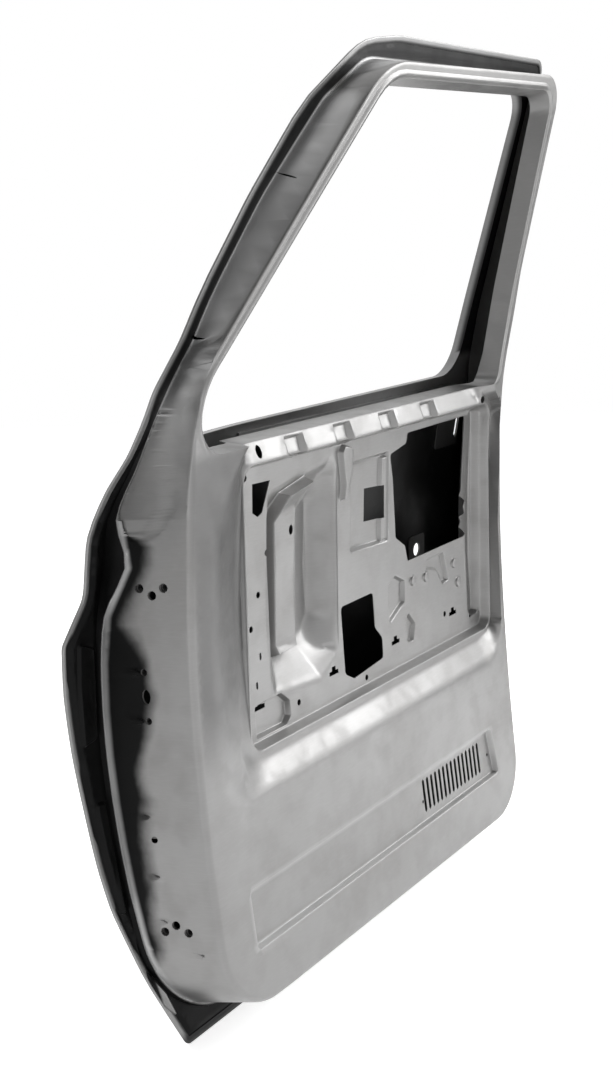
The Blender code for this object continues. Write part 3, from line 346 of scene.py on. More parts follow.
# Small holes that are too slight for the solids: place, and radius along and up
EXTRA_HOLES = (
    (0.2035, 0.0255, 0.0062, 0.0085), (0.3364, -0.1598, 0.0048, 0.0068), (0.2425, 0.7045, 0.0012, 0.0050),
    (0.0500, 0.3390, 0.0016, 0.0045), (0.952, 0.010, 0.0070, 0.0055), (0.632, -0.845, 0.0026, 0.0026),
    (0.896, -0.841, 0.0026, 0.0026),
)
HANDLE_BEAD_SHARES = ((0.546, 0.115), (0.546, 0.455), (0.572, 0.455), (0.572, 0.115))
# Heights between which the hem is narrower
NOTCH_SHARES = ((-0.265, -0.345), (-0.500, -0.640), (-0.760, -0.860))
HEM_NOTCH_SHARE = 0.60
# The inner edge of the painted dark reflection on the hinge face: height, and distance out from the crease
PAINTED_REFLECTION_EDGE_SHARES = (
    (-0.985, 0.340), (-0.940, 0.420), (-0.880, 0.560), (-0.800, 0.640), (-0.720, 0.660), (-0.640, 0.620),
    (-0.570, 0.560), (-0.514, 0.640), (-0.467, 0.580), (-0.430, 0.520), (-0.384, 0.450), (-0.320, 0.480),
    (-0.274, 0.560), (-0.247, 0.620), (-0.220, 0.540), (-0.166, 0.380), (-0.140, 0.320), (-0.110, 0.300),
    (-0.090, 0.420),
)
# Dings: along the panel and up it, size as a share of its width, and depth as a share of the door's
DENT_SHARES = (
    (0.096, -0.639, 0.011, 0.018), (0.111, -0.736, 0.010, 0.014), (0.099, -0.787, 0.008, 0.014),
    (0.114, -0.859, 0.009, 0.010), (0.484, -0.682, 0.020, 0.012), (0.620, -0.930, 0.030, -0.008),
    (0.300, -0.700, 0.060, 0.008), (0.780, -0.700, 0.070, -0.006), (0.020, -0.300, 0.012, 0.010),
)


def height_of(share):
    """Height above the belt line, from a share of the rise above it or of the drop below it."""
    return share * (FRAME_RISE if share > 0 else PANEL_DROP)


def along_of(share):
    """Distance rearward of the belt datum, from a share of the panel's width past its hinge crease."""
    return HINGE_CREASE + share * PANEL_WIDTH


def recess_place(share):
    return share[0] * RECESS_WIDTH, -share[1] * RECESS_DROP


def ramp(value, width):
    return np.clip(value / width, 0, 1)


def ease(value, width):
    t = ramp(value, width)
    return t * t * (3 - 2 * t)


def station_curve(stations):
    """A smooth curve through stations of height and depth, as a function of height."""
    heights = np.array([height_of(h) for h, _ in stations])
    depths = np.array([d * DOOR_DEPTH for _, d in stations])
    slopes = np.gradient(depths, heights)

    def curve(z):
        z = np.clip(z, heights[0], heights[-1])
        i = np.clip(np.searchsorted(heights, z) - 1, 0, len(heights) - 2)
        span = heights[i + 1] - heights[i]
        t = (z - heights[i]) / span
        return (
            depths[i] * (1 + 2 * t) * (1 - t) ** 2
            + slopes[i] * span * t * (1 - t) ** 2
            + depths[i + 1] * t**2 * (3 - 2 * t)
            + slopes[i + 1] * span * t**2 * (t - 1)
        )

    return curve


crest_at = station_curve(CREST_SHARES)
flank_at = station_curve(SKIN_SHARES)


def skin_at(x, z):
    """Depth of the skin's outer face: it turns in towards the windscreen pillar above the belt."""
    start, full, fade, end = (height_of(share) for share in BOW_SHARES)
    rise = ease(z - start, full - start) * (1 - ramp(z - fade, end - fade))
    pillar = along_of(PILLAR_FOOT_SHARE) + PILLAR_SLOPE * np.clip(z - full, 0, None)
    return flank_at(z) - PILLAR_BOW * rise * (1 - ease(x - pillar, BOW_REACH))


def ledge_at(z):
    return LEDGE_DEPTH + (FRAME_LEDGE - LEDGE_DEPTH) * ease(z, height_of(0.16))


def step_at(x, z, hinge_side):
    """Depth of the ledge at the foot of a side wall, which rises at the joggle by the upper hinge."""
    joggle = np.exp(-(((z - height_of(-0.14)) / height_of(-0.06)) ** 2)) * hinge_side
    return skin_at(x, z) - ledge_at(z) - JOGGLE_RISE * joggle


class Wall:
    """A flat shut face: it leans outward from the crease of the inner face."""

    def __init__(self, crease, lean, side):
        self.crease, self.lean, self.side = crease, lean, side

    def x_at(self, y):
        return self.crease + self.side * (y - CREASE_DEPTH) * math.tan(self.lean)

    def top_at(self, z):
        return self.x_at(crest_at(z))

    def foot_at(self, z):
        return self.x_at(step_at(self.crease, z, self.side < 0))

    def place(self, out, z, inward=0.0):
        """A point so far out from the crease along the face, and so far inside it."""
        c, s = math.cos(self.lean), math.sin(self.lean)
        x = self.crease + self.side * (out * s - inward * c)
        y = CREASE_DEPTH + out * c + inward * s
        return np.stack(np.broadcast_arrays(x, y, z), -1)

    def hole(self, out, z, radius_out, radius_up):
        """A round hole in the face, as it looks along the door's depth."""
        ring = circle(0, 0, radius_out, radius_up, 10)
        return np.stack([self.place(out + ring[:, 0], z)[:, 0], z + ring[:, 1]], 1)


HINGE_WALL = Wall(HINGE_CREASE, HINGE_LEAN, -1)
LOCK_WALL = Wall(HINGE_CREASE + PANEL_WIDTH, LOCK_LEAN, 1)
WALLS = (HINGE_WALL, LOCK_WALL)
WALL_TOP = height_of(-0.06)
WALL_FOOT = height_of(-1.0) + CORNER_SHARE * PANEL_WIDTH


class Outline:
    """A closed outline of (x, z, corner radius) points, anticlockwise seen from inside the car."""

    def __init__(self, points, steps=ARC_STEPS, longest=LONGEST_EDGE):
        self.points = [tuple(p) for p in points]
        count = len(self.points)
        turns = [self.turn(i) / 90 if point[2] > 0 else 0 for i, point in enumerate(self.points)]
        self.arcs = [max(1, round(turn * steps)) if turn else 0 for turn in turns]
        self.cuts = [math.ceil(self.sides(i)[2] / longest) - 1 if longest else 0 for i in range(count)]

    def sides(self, i):
        """Unit vectors into and out of a corner, and the length of the side after it."""
        count = len(self.points)
        before, here, after = (np.array(self.points[(i + k) % count][:2]) for k in (-1, 0, 1))
        a, b = here - before, after - here
        return a / np.linalg.norm(a), b / np.linalg.norm(b), np.linalg.norm(b)

    def turn(self, i):
        a, b, _ = self.sides(i)
        return math.degrees(math.acos(np.clip(a @ b, -1, 1)))

    def inset(self, distance):
        """The outline moved inwards, its corner radii following."""
        moved = []
        for i, point in enumerate(self.points):
            a, b, _ = self.sides(i)
            normal_a, normal_b = np.array((-a[1], a[0])), np.array((-b[1], b[0]))
            corner = np.array(point[:2]) + (normal_a + normal_b) / (1 + normal_a @ normal_b) * distance
            radius = point[2] - math.copysign(1, a[0] * b[1] - a[1] * b[0]) * distance
            moved.append((corner[0], corner[1], max(radius, 0) if point[2] > 0 else 0))
        outline = Outline(moved)
        outline.arcs, outline.cuts = self.arcs, self.cuts
        return outline

    def ring(self):
        """The outline's points, with its corners rounded and its long sides divided."""
        count = len(self.points)
        halves = [math.radians(self.turn(i)) / 2 for i in range(count)]
        reach = [point[2] * math.tan(half) for point, half in zip(self.points, halves)]
        share = [1.0] * count
        for i in range(count):
            total = reach[i] + reach[(i + 1) % count]
            for j in (i, (i + 1) % count):
                share[j] = min(share[j], self.sides(i)[2] / total if total > 0 else 1.0)
        found = []
        for i, point in enumerate(self.points):
            a, b, _ = self.sides(i)
            corner, back = np.array(point[:2]), reach[i] * share[i]
            start, end = corner - a * back, corner + b * back
            for k in range(self.arcs[i] + 1):
                t = k / self.arcs[i] if self.arcs[i] else 0.5
                w = (1 - t) ** 2, 2 * math.cos(halves[i]) * t * (1 - t), t**2
                found.append((w[0] * start + w[1] * corner + w[2] * end) / sum(w))
            j = (i + 1) % count
            far = np.array(self.points[j][:2]) - b * reach[j] * share[j]
            for k in range(self.cuts[i]):
                found.append(end + (far - end) * (k + 1) / (self.cuts[i] + 1))
        return np.array(found)


def inside_by(ring, x, z):
    """How far each point lies inside a ring; negative outside it."""
    low, high = ring.min(0), ring.max(0)
    away = np.maximum.reduce([low[0] - x, x - high[0], low[1] - z, z - high[1]])
    found = -np.maximum(away, 0)
    near = np.flatnonzero(away < FAR_REACH)
    for start in range(0, len(near), CHUNK):
        some = near[start : start + CHUNK]
        found[some] = ring_distance(ring, x[some], z[some])
    return found


def ring_distance(ring, x, z):
    a, b = ring, np.roll(ring, -1, axis=0)
    keep = ((b - a) ** 2).sum(1) > 0
    a, edge = a[keep], (b - a)[keep]
    px, pz = x[:, None] - a[:, 0], z[:, None] - a[:, 1]
    t = np.clip((px * edge[:, 0] + pz * edge[:, 1]) / (edge**2).sum(1), 0, 1)
    gap = np.sqrt(((px - t * edge[:, 0]) ** 2 + (pz - t * edge[:, 1]) ** 2).min(1))
    above = (a[:, 1] > z[:, None]) != (a[:, 1] + edge[:, 1] > z[:, None])
    with np.errstate(divide="ignore", invalid="ignore"):
        cross = edge[:, 0] * pz / edge[:, 1] + a[:, 0]
    odd = (above & (x[:, None] < cross)).sum(1) % 2
    return np.where(odd == 1, gap, -gap)


def door_outline(shares, steps=ARC_STEPS, longest=LONGEST_EDGE):
    points = [(along_of(x), height_of(z), r * PANEL_WIDTH) for x, z, r in shares]
    return Outline(points, steps, longest)


def recess_outline(shares, radius_share=0.0, steps=2):
    """An outline inside the service recess."""
    return Outline([(*recess_place(p), radius_share * RECESS_WIDTH) for p in shares], steps, 0)


def circle(x, z, radius_x, radius_z, count=8):
    turn = np.arange(count) * 2 * math.pi / count
    return np.stack([x + radius_x * np.cos(turn), z + radius_z * np.sin(turn)], 1)


def slot(x, z, half, radius):
    """An upright slot with round ends."""
    ends = []
    for side in (1, -1):
        for k in range(3):
            turn = math.pi * k / 2 + (0 if side > 0 else math.pi)
            ends.append((x + radius * math.cos(turn), z + side * (half - radius) + radius * math.sin(turn)))
    return np.array(ends)


def side_outline(top_shares, corners, edge_at, low):
    """An outline of the panel: its bottom corners, lock side, window frame and hinge side."""
    stations = np.linspace(low, WALL_TOP, 10)
    points = [*corners]
    points += [(edge_at(LOCK_WALL, z), z, 0) for z in stations]
    points += [(along_of(x), height_of(z), r * PANEL_WIDTH) for x, z, r in top_shares]
    points += [(edge_at(HINGE_WALL, z), z, 0) for z in reversed(stations)]
    return Outline(points, 2 * ARC_STEPS)


def crest_outline():
    bottom = height_of(-1.0)
    corners = [(wall.top_at(bottom), bottom, CORNER_SHARE * PANEL_WIDTH) for wall in WALLS]
    return side_outline(CREST_TOP_SHARES, corners, Wall.top_at, WALL_FOOT)


def foot_outline():
    bottom = height_of(FOOT_DROP_SHARE)
    radii = [share * PANEL_WIDTH for share in FOOT_CORNER_SHARES]
    low = bottom + max(radii)
    corners = [(wall.foot_at(low), bottom, radius) for wall, radius in zip(WALLS, radii)]
    return side_outline(FOOT_TOP_SHARES, corners, Wall.foot_at, low)


crest_line = crest_outline()
foot_line = foot_outline()
opening_line = door_outline(OPENING_SHARES)
skin_line = door_outline(SKIN_LINE_SHARES)
skin_opening = door_outline(SKIN_OPENING_SHARES)
recess_line = recess_outline(RECESS_SHARES, 0.036, ARC_STEPS)


def rounded(share, bend=0.26):
    """A flat wall's rise from 0 to 1 with a bend at its top and at its foot."""
    top, foot = np.minimum(share, bend) ** 2, np.clip(share - 1 + bend, 0, None) ** 2
    middle = 2 * bend * np.clip(share - bend, 0, None)
    return (top + middle - foot) / (2 * bend * (1 - bend))


class Step:
    """A step pressed into a sheet, with rounded shoulders: full depth inside its floor ring."""

    ROUND_SHARES = (0.0, 0.08, 0.17, 0.26, 0.5, 0.74, 0.83, 0.92, 1.0)

    def __init__(self, outline, depth, wall=STEP_WALL, floor=None):
        self.top = outline.ring()
        self.floor = (floor or outline.inset(wall)).ring()
        self.depth = depth
        self.rings = [self.top, self.floor]
        if floor is None:
            self.rings = [outline.inset(share * wall).ring() for share in self.ROUND_SHARES]

    def at(self, x, z):
        outer = inside_by(self.top, x, z)
        inner = inside_by(self.floor, x, z)
        between = np.clip(outer, 0, None) / np.clip(outer - inner, 1e-9, None)
        share = np.where(inner >= 0, 1.0, np.where(outer <= 0, 0.0, between))
        return self.depth * rounded(share)


def boss(share):
    ring = circle(*recess_place(share), BOSS_RADIUS, BOSS_RADIUS, 16)
    return Outline([(x, z, 0) for x, z in ring], 1, 0)


def pocket(front):
    """A clip pocket pressed into the belt strip."""
    belt = height_of(OPENING_SHARES[0][1])
    low, high = -0.35 * belt, 0.93 * belt
    left, right = front * RECESS_WIDTH, (front + POCKET_WIDTH_SHARE) * RECESS_WIDTH
    corners = ((left, low), (right, low), (right, high), (left, high))
    return Outline([(*corner, SLOT_RADIUS) for corner in corners], 3, 0)


dish_floor = recess_outline(DISH_FLOOR_SHARES, 0.036, ARC_STEPS)
lower_press = Step(door_outline(LOWER_BOX_SHARES, 2, 0), LOWER_BOX_DEPTH, SMALL_WALL)
face_steps = [
    Step(door_outline(DISH_SHARES), DISH_DEPTH, floor=dish_floor),
    Step(recess_line, RECESS_DEPTH, RECESS_WALL),
    Step(recess_outline(GROOVE_SHARES, 0.020), RECESS_DEPTH * 0.8, STEP_WALL),
    Step(recess_outline(PAN_SHARES, 0.010), PAN_DEPTH, floor=recess_outline(PAN_FLOOR_SHARES, 0.010)),
    Step(recess_outline(POST_SHARES).inset(-POST_WALL), -POST_RISE, POST_WALL),
    Step(recess_outline(HANDLE_PAN_SHARES, 0.008), PAD_DEPTH),
    Step(recess_outline(FINGER_SHARES, 0.008), -PAD_DEPTH, SMALL_WALL),
    Step(recess_outline(CORNER_PAD_SHARES, 0.006), PAD_DEPTH, SMALL_WALL),
    lower_press,
]
face_steps += [Step(recess_outline(shares, 0.006), DROP_DEPTH, SMALL_WALL) for shares in DROP_SHARES]
face_steps.append(Step(recess_outline(HANDLE_BEAD_SHARES, 0.006), -HANDLE_BEAD_RISE, SMALL_WALL))
face_steps += [Step(boss(share), -BOSS_HEIGHT, BOSS_HEIGHT / 2) for share in BOSS_SHARES]
face_steps += [Step(pocket(front), POCKET_DEPTH, STEP_WALL) for front in POCKET_SHARES]
bead_steps = [
    Step(door_outline([(x, z, 0.006) for x, z in shares], 2, 0), -BEAD_DEPTH, SMALL_WALL)
    for shares in FLANGE_BEAD_SHARES
]

CREST_RING = crest_line.ring()
OPENING_RING = opening_line.ring()
OPENING_FLOOR = opening_line.inset(OPENING_WALL).ring()
FOOT_RING = foot_line.ring()
LEDGE_RING = foot_line.inset(-LEDGE_WIDTH).ring()
RISER_RING = foot_line.inset(-LEDGE_WIDTH - RISER_WIDTH).ring()
PANEL_EDGE = skin_line.inset(SKIN_SHEET + HEM_SLACK).ring()
HEM_RING = skin_line.inset(HEM_WIDTH).ring()
LIFT_RING = skin_line.inset(HEM_WIDTH + LIFT_WIDTH).ring()
BELT = height_of(OPENING_SHARES[0][1])
SEAT = HINGE_WALL.place(HINGE_OUT + BOLT_SPACING / 2, height_of(UPPER_HINGE_SHARE) + DOWEL_OFFSET).reshape(3)


def fillet(past, slope, radius):
    """Height of a rounded bend between a flat face and a wall that rises at a slope past it."""
    half = np.arctan(np.clip(slope, 0, None)) / 2
    start = past + radius * np.tan(half)
    arc = radius - np.sqrt(np.clip(radius**2 - np.clip(start, 0, radius) ** 2, 0, None))
    return np.where(start < 0, 0, np.where(start < radius * np.sin(2 * half), arc, past * slope))


def wall_share(x, z, past_crest, to_foot):
    """How far down its side wall a point lies, from the crest to the foot."""
    share = np.clip(past_crest, 0, None) / np.clip(past_crest + np.clip(to_foot, 0, None), 1e-9, None)
    for wall in WALLS:
        top, foot = wall.top_at(z), wall.foot_at(z)
        on_wall = (z > WALL_FOOT - CLEARANCE) & (z < WALL_TOP + CLEARANCE) & (wall.side * (x - top) > 0)
        share = np.where(on_wall & (to_foot > 0), (x - top) / (foot - top), share)
    return np.clip(share, 0, 1)


def pillar_press(y, crest, z):
    """How deep the leaf-shaped press at the pillar's foot is sunk."""
    heights, near, far = (np.array(row) for row in zip(*PRESS_SHARES))
    heights = np.array([height_of(share) for share in heights])
    past = y - crest
    edge = np.interp(z, heights, near * DOOR_DEPTH)
    end = np.interp(z, heights, far * DOOR_DEPTH)
    wall = ease(np.minimum(past - edge, end - past), PRESS_WALL)
    return PRESS_SINK * wall * ease(z - heights[0], 2 * PRESS_WALL) * ease(heights[-1] - z, PRESS_WALL)


def dimples(x, z):
    """How far the small round dimples on the hinge face stand proud of it."""
    out = (HINGE_CREASE - x) / math.sin(HINGE_LEAN)
    proud = np.zeros(x.shape)
    for o, h, radius, rise in DIMPLE_SHARES:
        near = np.hypot(out - o * DOOR_DEPTH, z - height_of(h)) / (radius * DOOR_DEPTH)
        proud += rise * DOOR_DEPTH * np.clip(1 - near**2, 0, None) ** 2
    return proud * (x < HINGE_CREASE) * (z < WALL_TOP)


def shoulder(x, z, past_crest, share):
    """The soft facet beside the hinge-side crease."""
    side = 1 - ease(x - HINGE_CREASE, 4 * SHOULDER_WIDTH)
    low = 1 - ease(z + BELT, 3 * BELT)
    return SHOULDER_DROP * side * low * (1 - ramp(-past_crest, SHOULDER_WIDTH)) * (1 - share)


def frame_bead(x, z):
    """The rounded bead pressed round the window opening in the pillar, the top rail and the rear post."""
    past = -inside_by(OPENING_RING, x, z)
    across = np.clip(1 - ((past - BEAD_OFFSET) / BEAD_HALF) ** 2, 0, None)
    return -BEAD_RISE * across**1.5 * ease(z - BELT, 4 * BEAD_HALF)


def dents(x, z):
    """Small dings and swellings from handling, as shares of the panel."""
    total = np.zeros(x.shape)
    for along, up, radius, depth in DENT_SHARES:
        near = np.hypot(x - along_of(along), z - height_of(up)) / (radius * PANEL_WIDTH)
        total += depth * DOOR_DEPTH * np.exp(-2 * near**2)
    return total


def panel_depth(x, z):
    """The inner panel's depth over the door's plane, with its bends rounded."""
    crest, skin = crest_at(z), skin_at(x, z)
    step = step_at(x, z, x < HINGE_CREASE + PANEL_WIDTH / 2)
    lift = FLANGE_LIFT_SHARE * ledge_at(z) * ramp(inside_by(HEM_RING, x, z), LIFT_WIDTH)
    flange = skin - SEAT_GAP - PANEL_SHEET - lift
    past_crest, to_foot = -inside_by(CREST_RING, x, z), inside_by(FOOT_RING, x, z)
    total = np.clip(past_crest + to_foot, STEP_WALL, None)
    slope = (step - crest) / total
    share = wall_share(x, z, past_crest, to_foot)
    past = np.where(past_crest > 0, share * total, past_crest)
    radius = CREASE_RADIUS + (FRAME_RADIUS - CREASE_RADIUS) * ease(z + BELT, 3 * BELT)
    y = crest + np.where(share >= 1, step - crest, fillet(past, slope, radius))
    on_side = (to_foot > 0) & (past_crest > 0) & (x < HINGE_CREASE + 2 * SHOULDER_WIDTH)
    y = y - dimples(x, z) / math.sin(HINGE_LEAN) * on_side
    y = y + pillar_press(y, crest, z) / math.sin(HINGE_LEAN) * on_side
    y = y + shoulder(x, z, past_crest, share) * (to_foot > 0)
    past_ledge = -inside_by(LEDGE_RING, x, z)
    y = y + (flange - step) * ease(past_ledge, RISER_WIDTH)
    dish = dish_floor.ring()[:, 0].max()
    ends = ramp(x, PAD_DEPTH) * ramp(STRIP_SHARE * dish - x, PAD_DEPTH)
    strip = BELT_SLOPE * ramp(z, BELT) * ends * (z < 2 * BELT)
    face = sum(step_in.at(x, z) for step_in in face_steps) + strip + dents(x, z) + frame_bead(x, z)
    y = np.where(past_crest <= 0, y + face, y)
    turn = OPENING_TURN + (BELT_TURN - OPENING_TURN) * ramp(3 * BELT - z, 1.4 * BELT)
    inside = inside_by(OPENING_RING, x, z)
    turned = np.minimum(y + turn * ramp(inside, OPENING_WALL), skin - RETURN_DEPTH / 2)
    y = np.where(inside > 0, turned, y)
    return y + sum(bead.at(x, z) for bead in bead_steps) * (past_ledge > RISER_WIDTH)


def hinge_holes(out, share, dowel):
    """A hinge's two bolt holes and the dowel hole between them: out from the crease, height and radii."""
    z = height_of(share)
    places = [(out, z), (out + BOLT_SPACING, z), (out + BOLT_SPACING / 2, z + dowel)]
    return [(*place, BOLT_RADIUS, BOLT_RADIUS) for place in places]


def check_holes():
    """The check strap's slot and its two fixing holes."""
    z = height_of(CHECK_SHARE)
    sides = [(CHECK_OUT, z + k * CHECK_SPACING / 2, HOLE_RADIUS, HOLE_RADIUS) for k in (-1, 1)]
    return [(CHECK_OUT, z, BOLT_RADIUS, 1.6 * BOLT_RADIUS), *sides]


def latch_holes():
    """The latch's opening and its three bolt holes."""
    z, rise = height_of(LATCH_SHARE), 1.7 * LATCH_SPACING
    bolts = [(LATCH_OUT + k * LATCH_SPACING, z + h * rise) for k, h in ((-1, 1), (1, 1), (0, -1))]
    return [(LATCH_OUT, z, LATCH_REACH, LATCH_RISE), *((*bolt, HOLE_RADIUS, HOLE_RADIUS) for bolt in bolts)]


def tee_hole(share):
    x, z = recess_place(share)
    w, h, s = TEE_WIDTH / 2, TEE_HEIGHT / 2, TEE_STEM / 2
    low = [(x - w, z - h), (x + w, z - h), (x + w, z), (x + s, z)]
    return np.array([*low, (x + s, z + h), (x - s, z + h), (x - s, z), (x - w, z)])


def vent_holes():
    front, rear, top, bottom = VENT_SHARES
    pitch = (rear - front) * PANEL_WIDTH / VENT_SLOTS
    middle, half = (height_of(top) + height_of(bottom)) / 2, (height_of(top) - height_of(bottom)) / 2
    starts = [along_of(front) + pitch * (k + 0.5) for k in range(VENT_SLOTS)]
    return [slot(x, middle, half, pitch * VENT_SLOT_SHARE / 2) for x in starts]


def panel_holes():
    """Every hole pierced in the inner panel."""
    holes = [OPENING_FLOOR]
    holes += [recess_outline(HATCH_SHARES, 0.006).ring(), recess_outline(ACCESS_SHARES, 0.008).ring()]
    holes += [recess_outline(CORNER_HOLE_SHARES).ring(), recess_outline(HANDLE_HOLE_SHARES).ring()]
    holes += [circle(*recess_place(share), HOLE_RADIUS, HOLE_RADIUS) for share in FLOOR_HOLE_SHARES]
    holes += [slot(*recess_place(share), SLOT_HALF, SLOT_RADIUS) for share in FLOOR_SLOT_SHARES]
    holes += [tee_hole(share) for share in TEE_SHARES] + vent_holes()
    hinged = hinge_holes(HINGE_OUT, UPPER_HINGE_SHARE, -DOWEL_OFFSET)
    hinged += hinge_holes(LOWER_HINGE_OUT, LOWER_HINGE_SHARE, DOWEL_OFFSET)
    holes += [HINGE_WALL.hole(*hole) for hole in hinged + check_holes()]
    holes.append(HINGE_WALL.hole(SPARE_OUT, height_of(SPARE_SHARE), HOLE_RADIUS, HOLE_RADIUS))
    holes += [circle(along_of(x), height_of(z), a, b, 20) for x, z, a, b in EXTRA_HOLES]
    return holes + [LOCK_WALL.hole(*hole) for hole in latch_holes()]


def mirror_spots():
    """The mirror's three fixings behind the lower front corner of the window."""
    x, z = skin_place(MIRROR_SHARE)
    reach = 0.6 * MIRROR_HALF
    return [(x - reach, z - reach), (x + reach, z - reach), (x, z + reach)]


def skin_place(share):
    return along_of(share[0]), height_of(share[1])


def skin_holes():
    """The handle slot, the lock hole and the mirror's three fixing holes."""
    holes = [slot(*skin_place(HANDLE_SLOT_SHARE), HANDLE_SLOT_HALF, HANDLE_SLOT_RADIUS)]
    holes.append(circle(*skin_place(LOCK_HOLE_SHARE), LOCK_RADIUS, LOCK_RADIUS, 24))
    return holes + [circle(x, z, HOLE_RADIUS, HOLE_RADIUS, 16) for x, z in mirror_spots()]


def painted_reflection_at(x, z):
    """How far past the inner edge of the hinge face's painted dark reflection a point lies, in door depths.
    """
    out = (HINGE_CREASE - x) / math.sin(HINGE_LEAN) / DOOR_DEPTH
    heights = [height_of(height) for height, _ in PAINTED_REFLECTION_EDGE_SHARES]
    edge = np.interp(z, heights, [share for _, share in PAINTED_REFLECTION_EDGE_SHARES])
    ends = np.maximum(z - heights[-1], heights[0] - z)
    return np.clip(out - edge - np.clip(ends, 0, None) / STEP_WALL, -1, 1)


def painted_channel_shade_at(x, z):
    """Painted shade in the channel between the wall's foot and the hem, less on the presses in it."""
    pads = sum(bead.at(x, z) for bead in bead_steps) / -BEAD_DEPTH
    return ease(-inside_by(FOOT_RING, x, z), STEP_WALL / 2) * (1 - PAD_LIT_SHARE * pads)


def painted_pillar_light_at(x, z):
    """Painted light on the face of the windscreen pillar."""
    pillar = along_of(PILLAR_FOOT_SHARE) + PILLAR_SLOPE * np.clip(z, 0, None)
    wall = ease(-inside_by(CREST_RING, x, z) - TONE_START, TONE_SOFT)
    return wall * (1 - ease(x - pillar, BOW_REACH)) * ease(z - BELT, 6 * BELT)


def painted_slope_reflection_at(x, z):
    """Painted dark reflection on the slope between the hinge crease and the recess."""
    low, full, top = (height_of(share) for share in SLOPE_SHARES)
    beside = ease(x - HINGE_CREASE, SLOPE_SOFT) * ease(-inside_by(recess_line.ring(), x, z), RECESS_WALL)
    beside = beside * (1 - ease(x - SLOPE_END_SHARE * RECESS_WIDTH, SLOPE_FADE))
    return beside * ease(z - low, full - low) * ease(top - z, BELT)


def painted_press_highlight_at(x, z):
    """The painted highlight along the top and the front of the lower press."""
    gap = np.abs(inside_by(lower_press.top, x, z) - SMALL_WALL / 2)
    (front, low, _), (_, high, _) = LOWER_BOX_SHARES[0], LOWER_BOX_SHARES[2]
    above = ease(z - height_of(high) + LINE_REACH, STEP_WALL)
    ahead = ease(along_of(front) + LINE_REACH - x, STEP_WALL)
    return ease(LINE_HALF - gap, LINE_SOFT) * np.maximum(above, ahead) * (z > height_of(low))


def foot_gap_at(x, z):
    """How far a point lies from the bend at the foot of the hinge face, in door depths, for the painted
    highlight along that bend.
    """
    side = np.clip(x - HINGE_CREASE - SHOULDER_WIDTH, 0, None)
    return np.clip(np.abs(inside_by(FOOT_RING, x, z)) + side, 0, DOOR_DEPTH) / DOOR_DEPTH


def triangulate(boundary, holes=(), rings=(), inner=()):
    """Points and triangles that fill a boundary outside its holes and keep to the rings given."""
    points, edges = [], []
    for ring in [boundary, *holes, *rings]:
        start, count = len(points), len(ring)
        points.extend((float(p[0]), float(p[1])) for p in ring)
        edges.extend((start + k, start + (k + 1) % count) for k in range(count))
    walls = sum(len(ring) for ring in [boundary, *holes])
    points.extend((float(p[0]), float(p[1])) for p in inner)
    flat, found, faces, _, sources, _ = delaunay_2d_cdt(points, edges, [], 0, 1e-6)
    flat = np.array([tuple(p) for p in flat])
    faces = np.array([tuple(f) for f in faces])
    walled = [edge for edge, source in zip(found, sources) if any(k < walls for k in source)]
    barriers = {tuple(sorted(edge)) for edge in walled}
    middle = flat[faces].mean(1)
    depth = inside_by(boundary, middle[:, 0], middle[:, 1])
    for hole in holes:
        depth = np.minimum(depth, -inside_by(hole, middle[:, 0], middle[:, 1]))
    used, faces = np.unique(faces[spread(faces, barriers, int(depth.argmax()))], return_inverse=True)
    return flat[used], faces.reshape(-1, 3)


def spread(faces, barriers, seed):
    """The faces reached from a seed without crossing a barrier edge."""
    sides = {}
    for i, (a, b, c) in enumerate(faces.tolist()):
        for edge in ((a, b), (b, c), (a, c)):
            sides.setdefault(tuple(sorted(edge)), []).append(i)
    reached, waiting = {seed}, [seed]
    while waiting:
        a, b, c = faces[waiting.pop()].tolist()
        for edge in {tuple(sorted(pair)) for pair in ((a, b), (b, c), (a, c))} - barriers:
            fresh = set(sides[edge]) - reached
            reached |= fresh
            waiting.extend(fresh)
    return sorted(reached)


def lattice(low, high, spacing):
    """Staggered points that fill a rectangle."""
    xs = np.arange(low[0], high[0], spacing)
    zs = np.arange(low[1], high[1], spacing * math.sqrt(3) / 2)
    column, row = np.meshgrid(np.arange(len(xs)), np.arange(len(zs)))
    x = xs[column] + spacing / 2 * (row % 2)
    return np.stack([x.ravel(), zs[row].ravel()], 1)


def clear_of(points, rings, gap):
    """The points that keep a gap from every ring."""
    marks = np.concatenate([divided(ring, gap) for ring in rings])
    tree = KDTree(len(marks))
    for i, (x, z) in enumerate(marks):
        tree.insert((x, 0, z), i)
    tree.balance()
    keep = [tree.find((x, 0, z))[2] > gap for x, z in points]
    return points[np.array(keep)]


def divided(ring, longest):
    """A ring's points with its long sides divided."""
    after = np.roll(ring, -1, axis=0)
    pieces = []
    for a, b in zip(ring, after):
        count = max(1, math.ceil(np.linalg.norm(b - a) / longest))
        pieces.append(a + (b - a) * np.arange(count)[:, None] / count)
    return np.concatenate(pieces)


# Masks of the panel's painted light, shade and dark reflections
PANEL_PAINTED_LIGHT = {
    "painted_dark": painted_reflection_at,
    "channel": painted_channel_shade_at,
    "pillar": painted_pillar_light_at,
    "slope": painted_slope_reflection_at,
    "line": painted_press_highlight_at,
    "foot_gap": foot_gap_at,
}


def mark(mesh, name, values):
    """Keeps one value per point of a mesh, for its finish to read."""
    layer = mesh.attributes.new(name, "FLOAT", "POINT")
    layer.data.foreach_set("value", np.ascontiguousarray(values, dtype=np.float32))


def finish_piece(name, mesh, material, slot, *nodes):
    """Shades a finished mesh smooth, links it at the origin and puts it in place of its solids."""
    mesh.materials.append(material)
    mesh.transform(Matrix.Translation([float(-value) for value in SEAT]))
    piece = bpy.data.objects.new(name, mesh)
    bpy.context.scene.collection.objects.link(piece)
    mesh.shade_smooth()
    mesh.set_sharp_from_angle(angle=math.radians(38))
    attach(piece, "root")
    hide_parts(*nodes)
    return piece


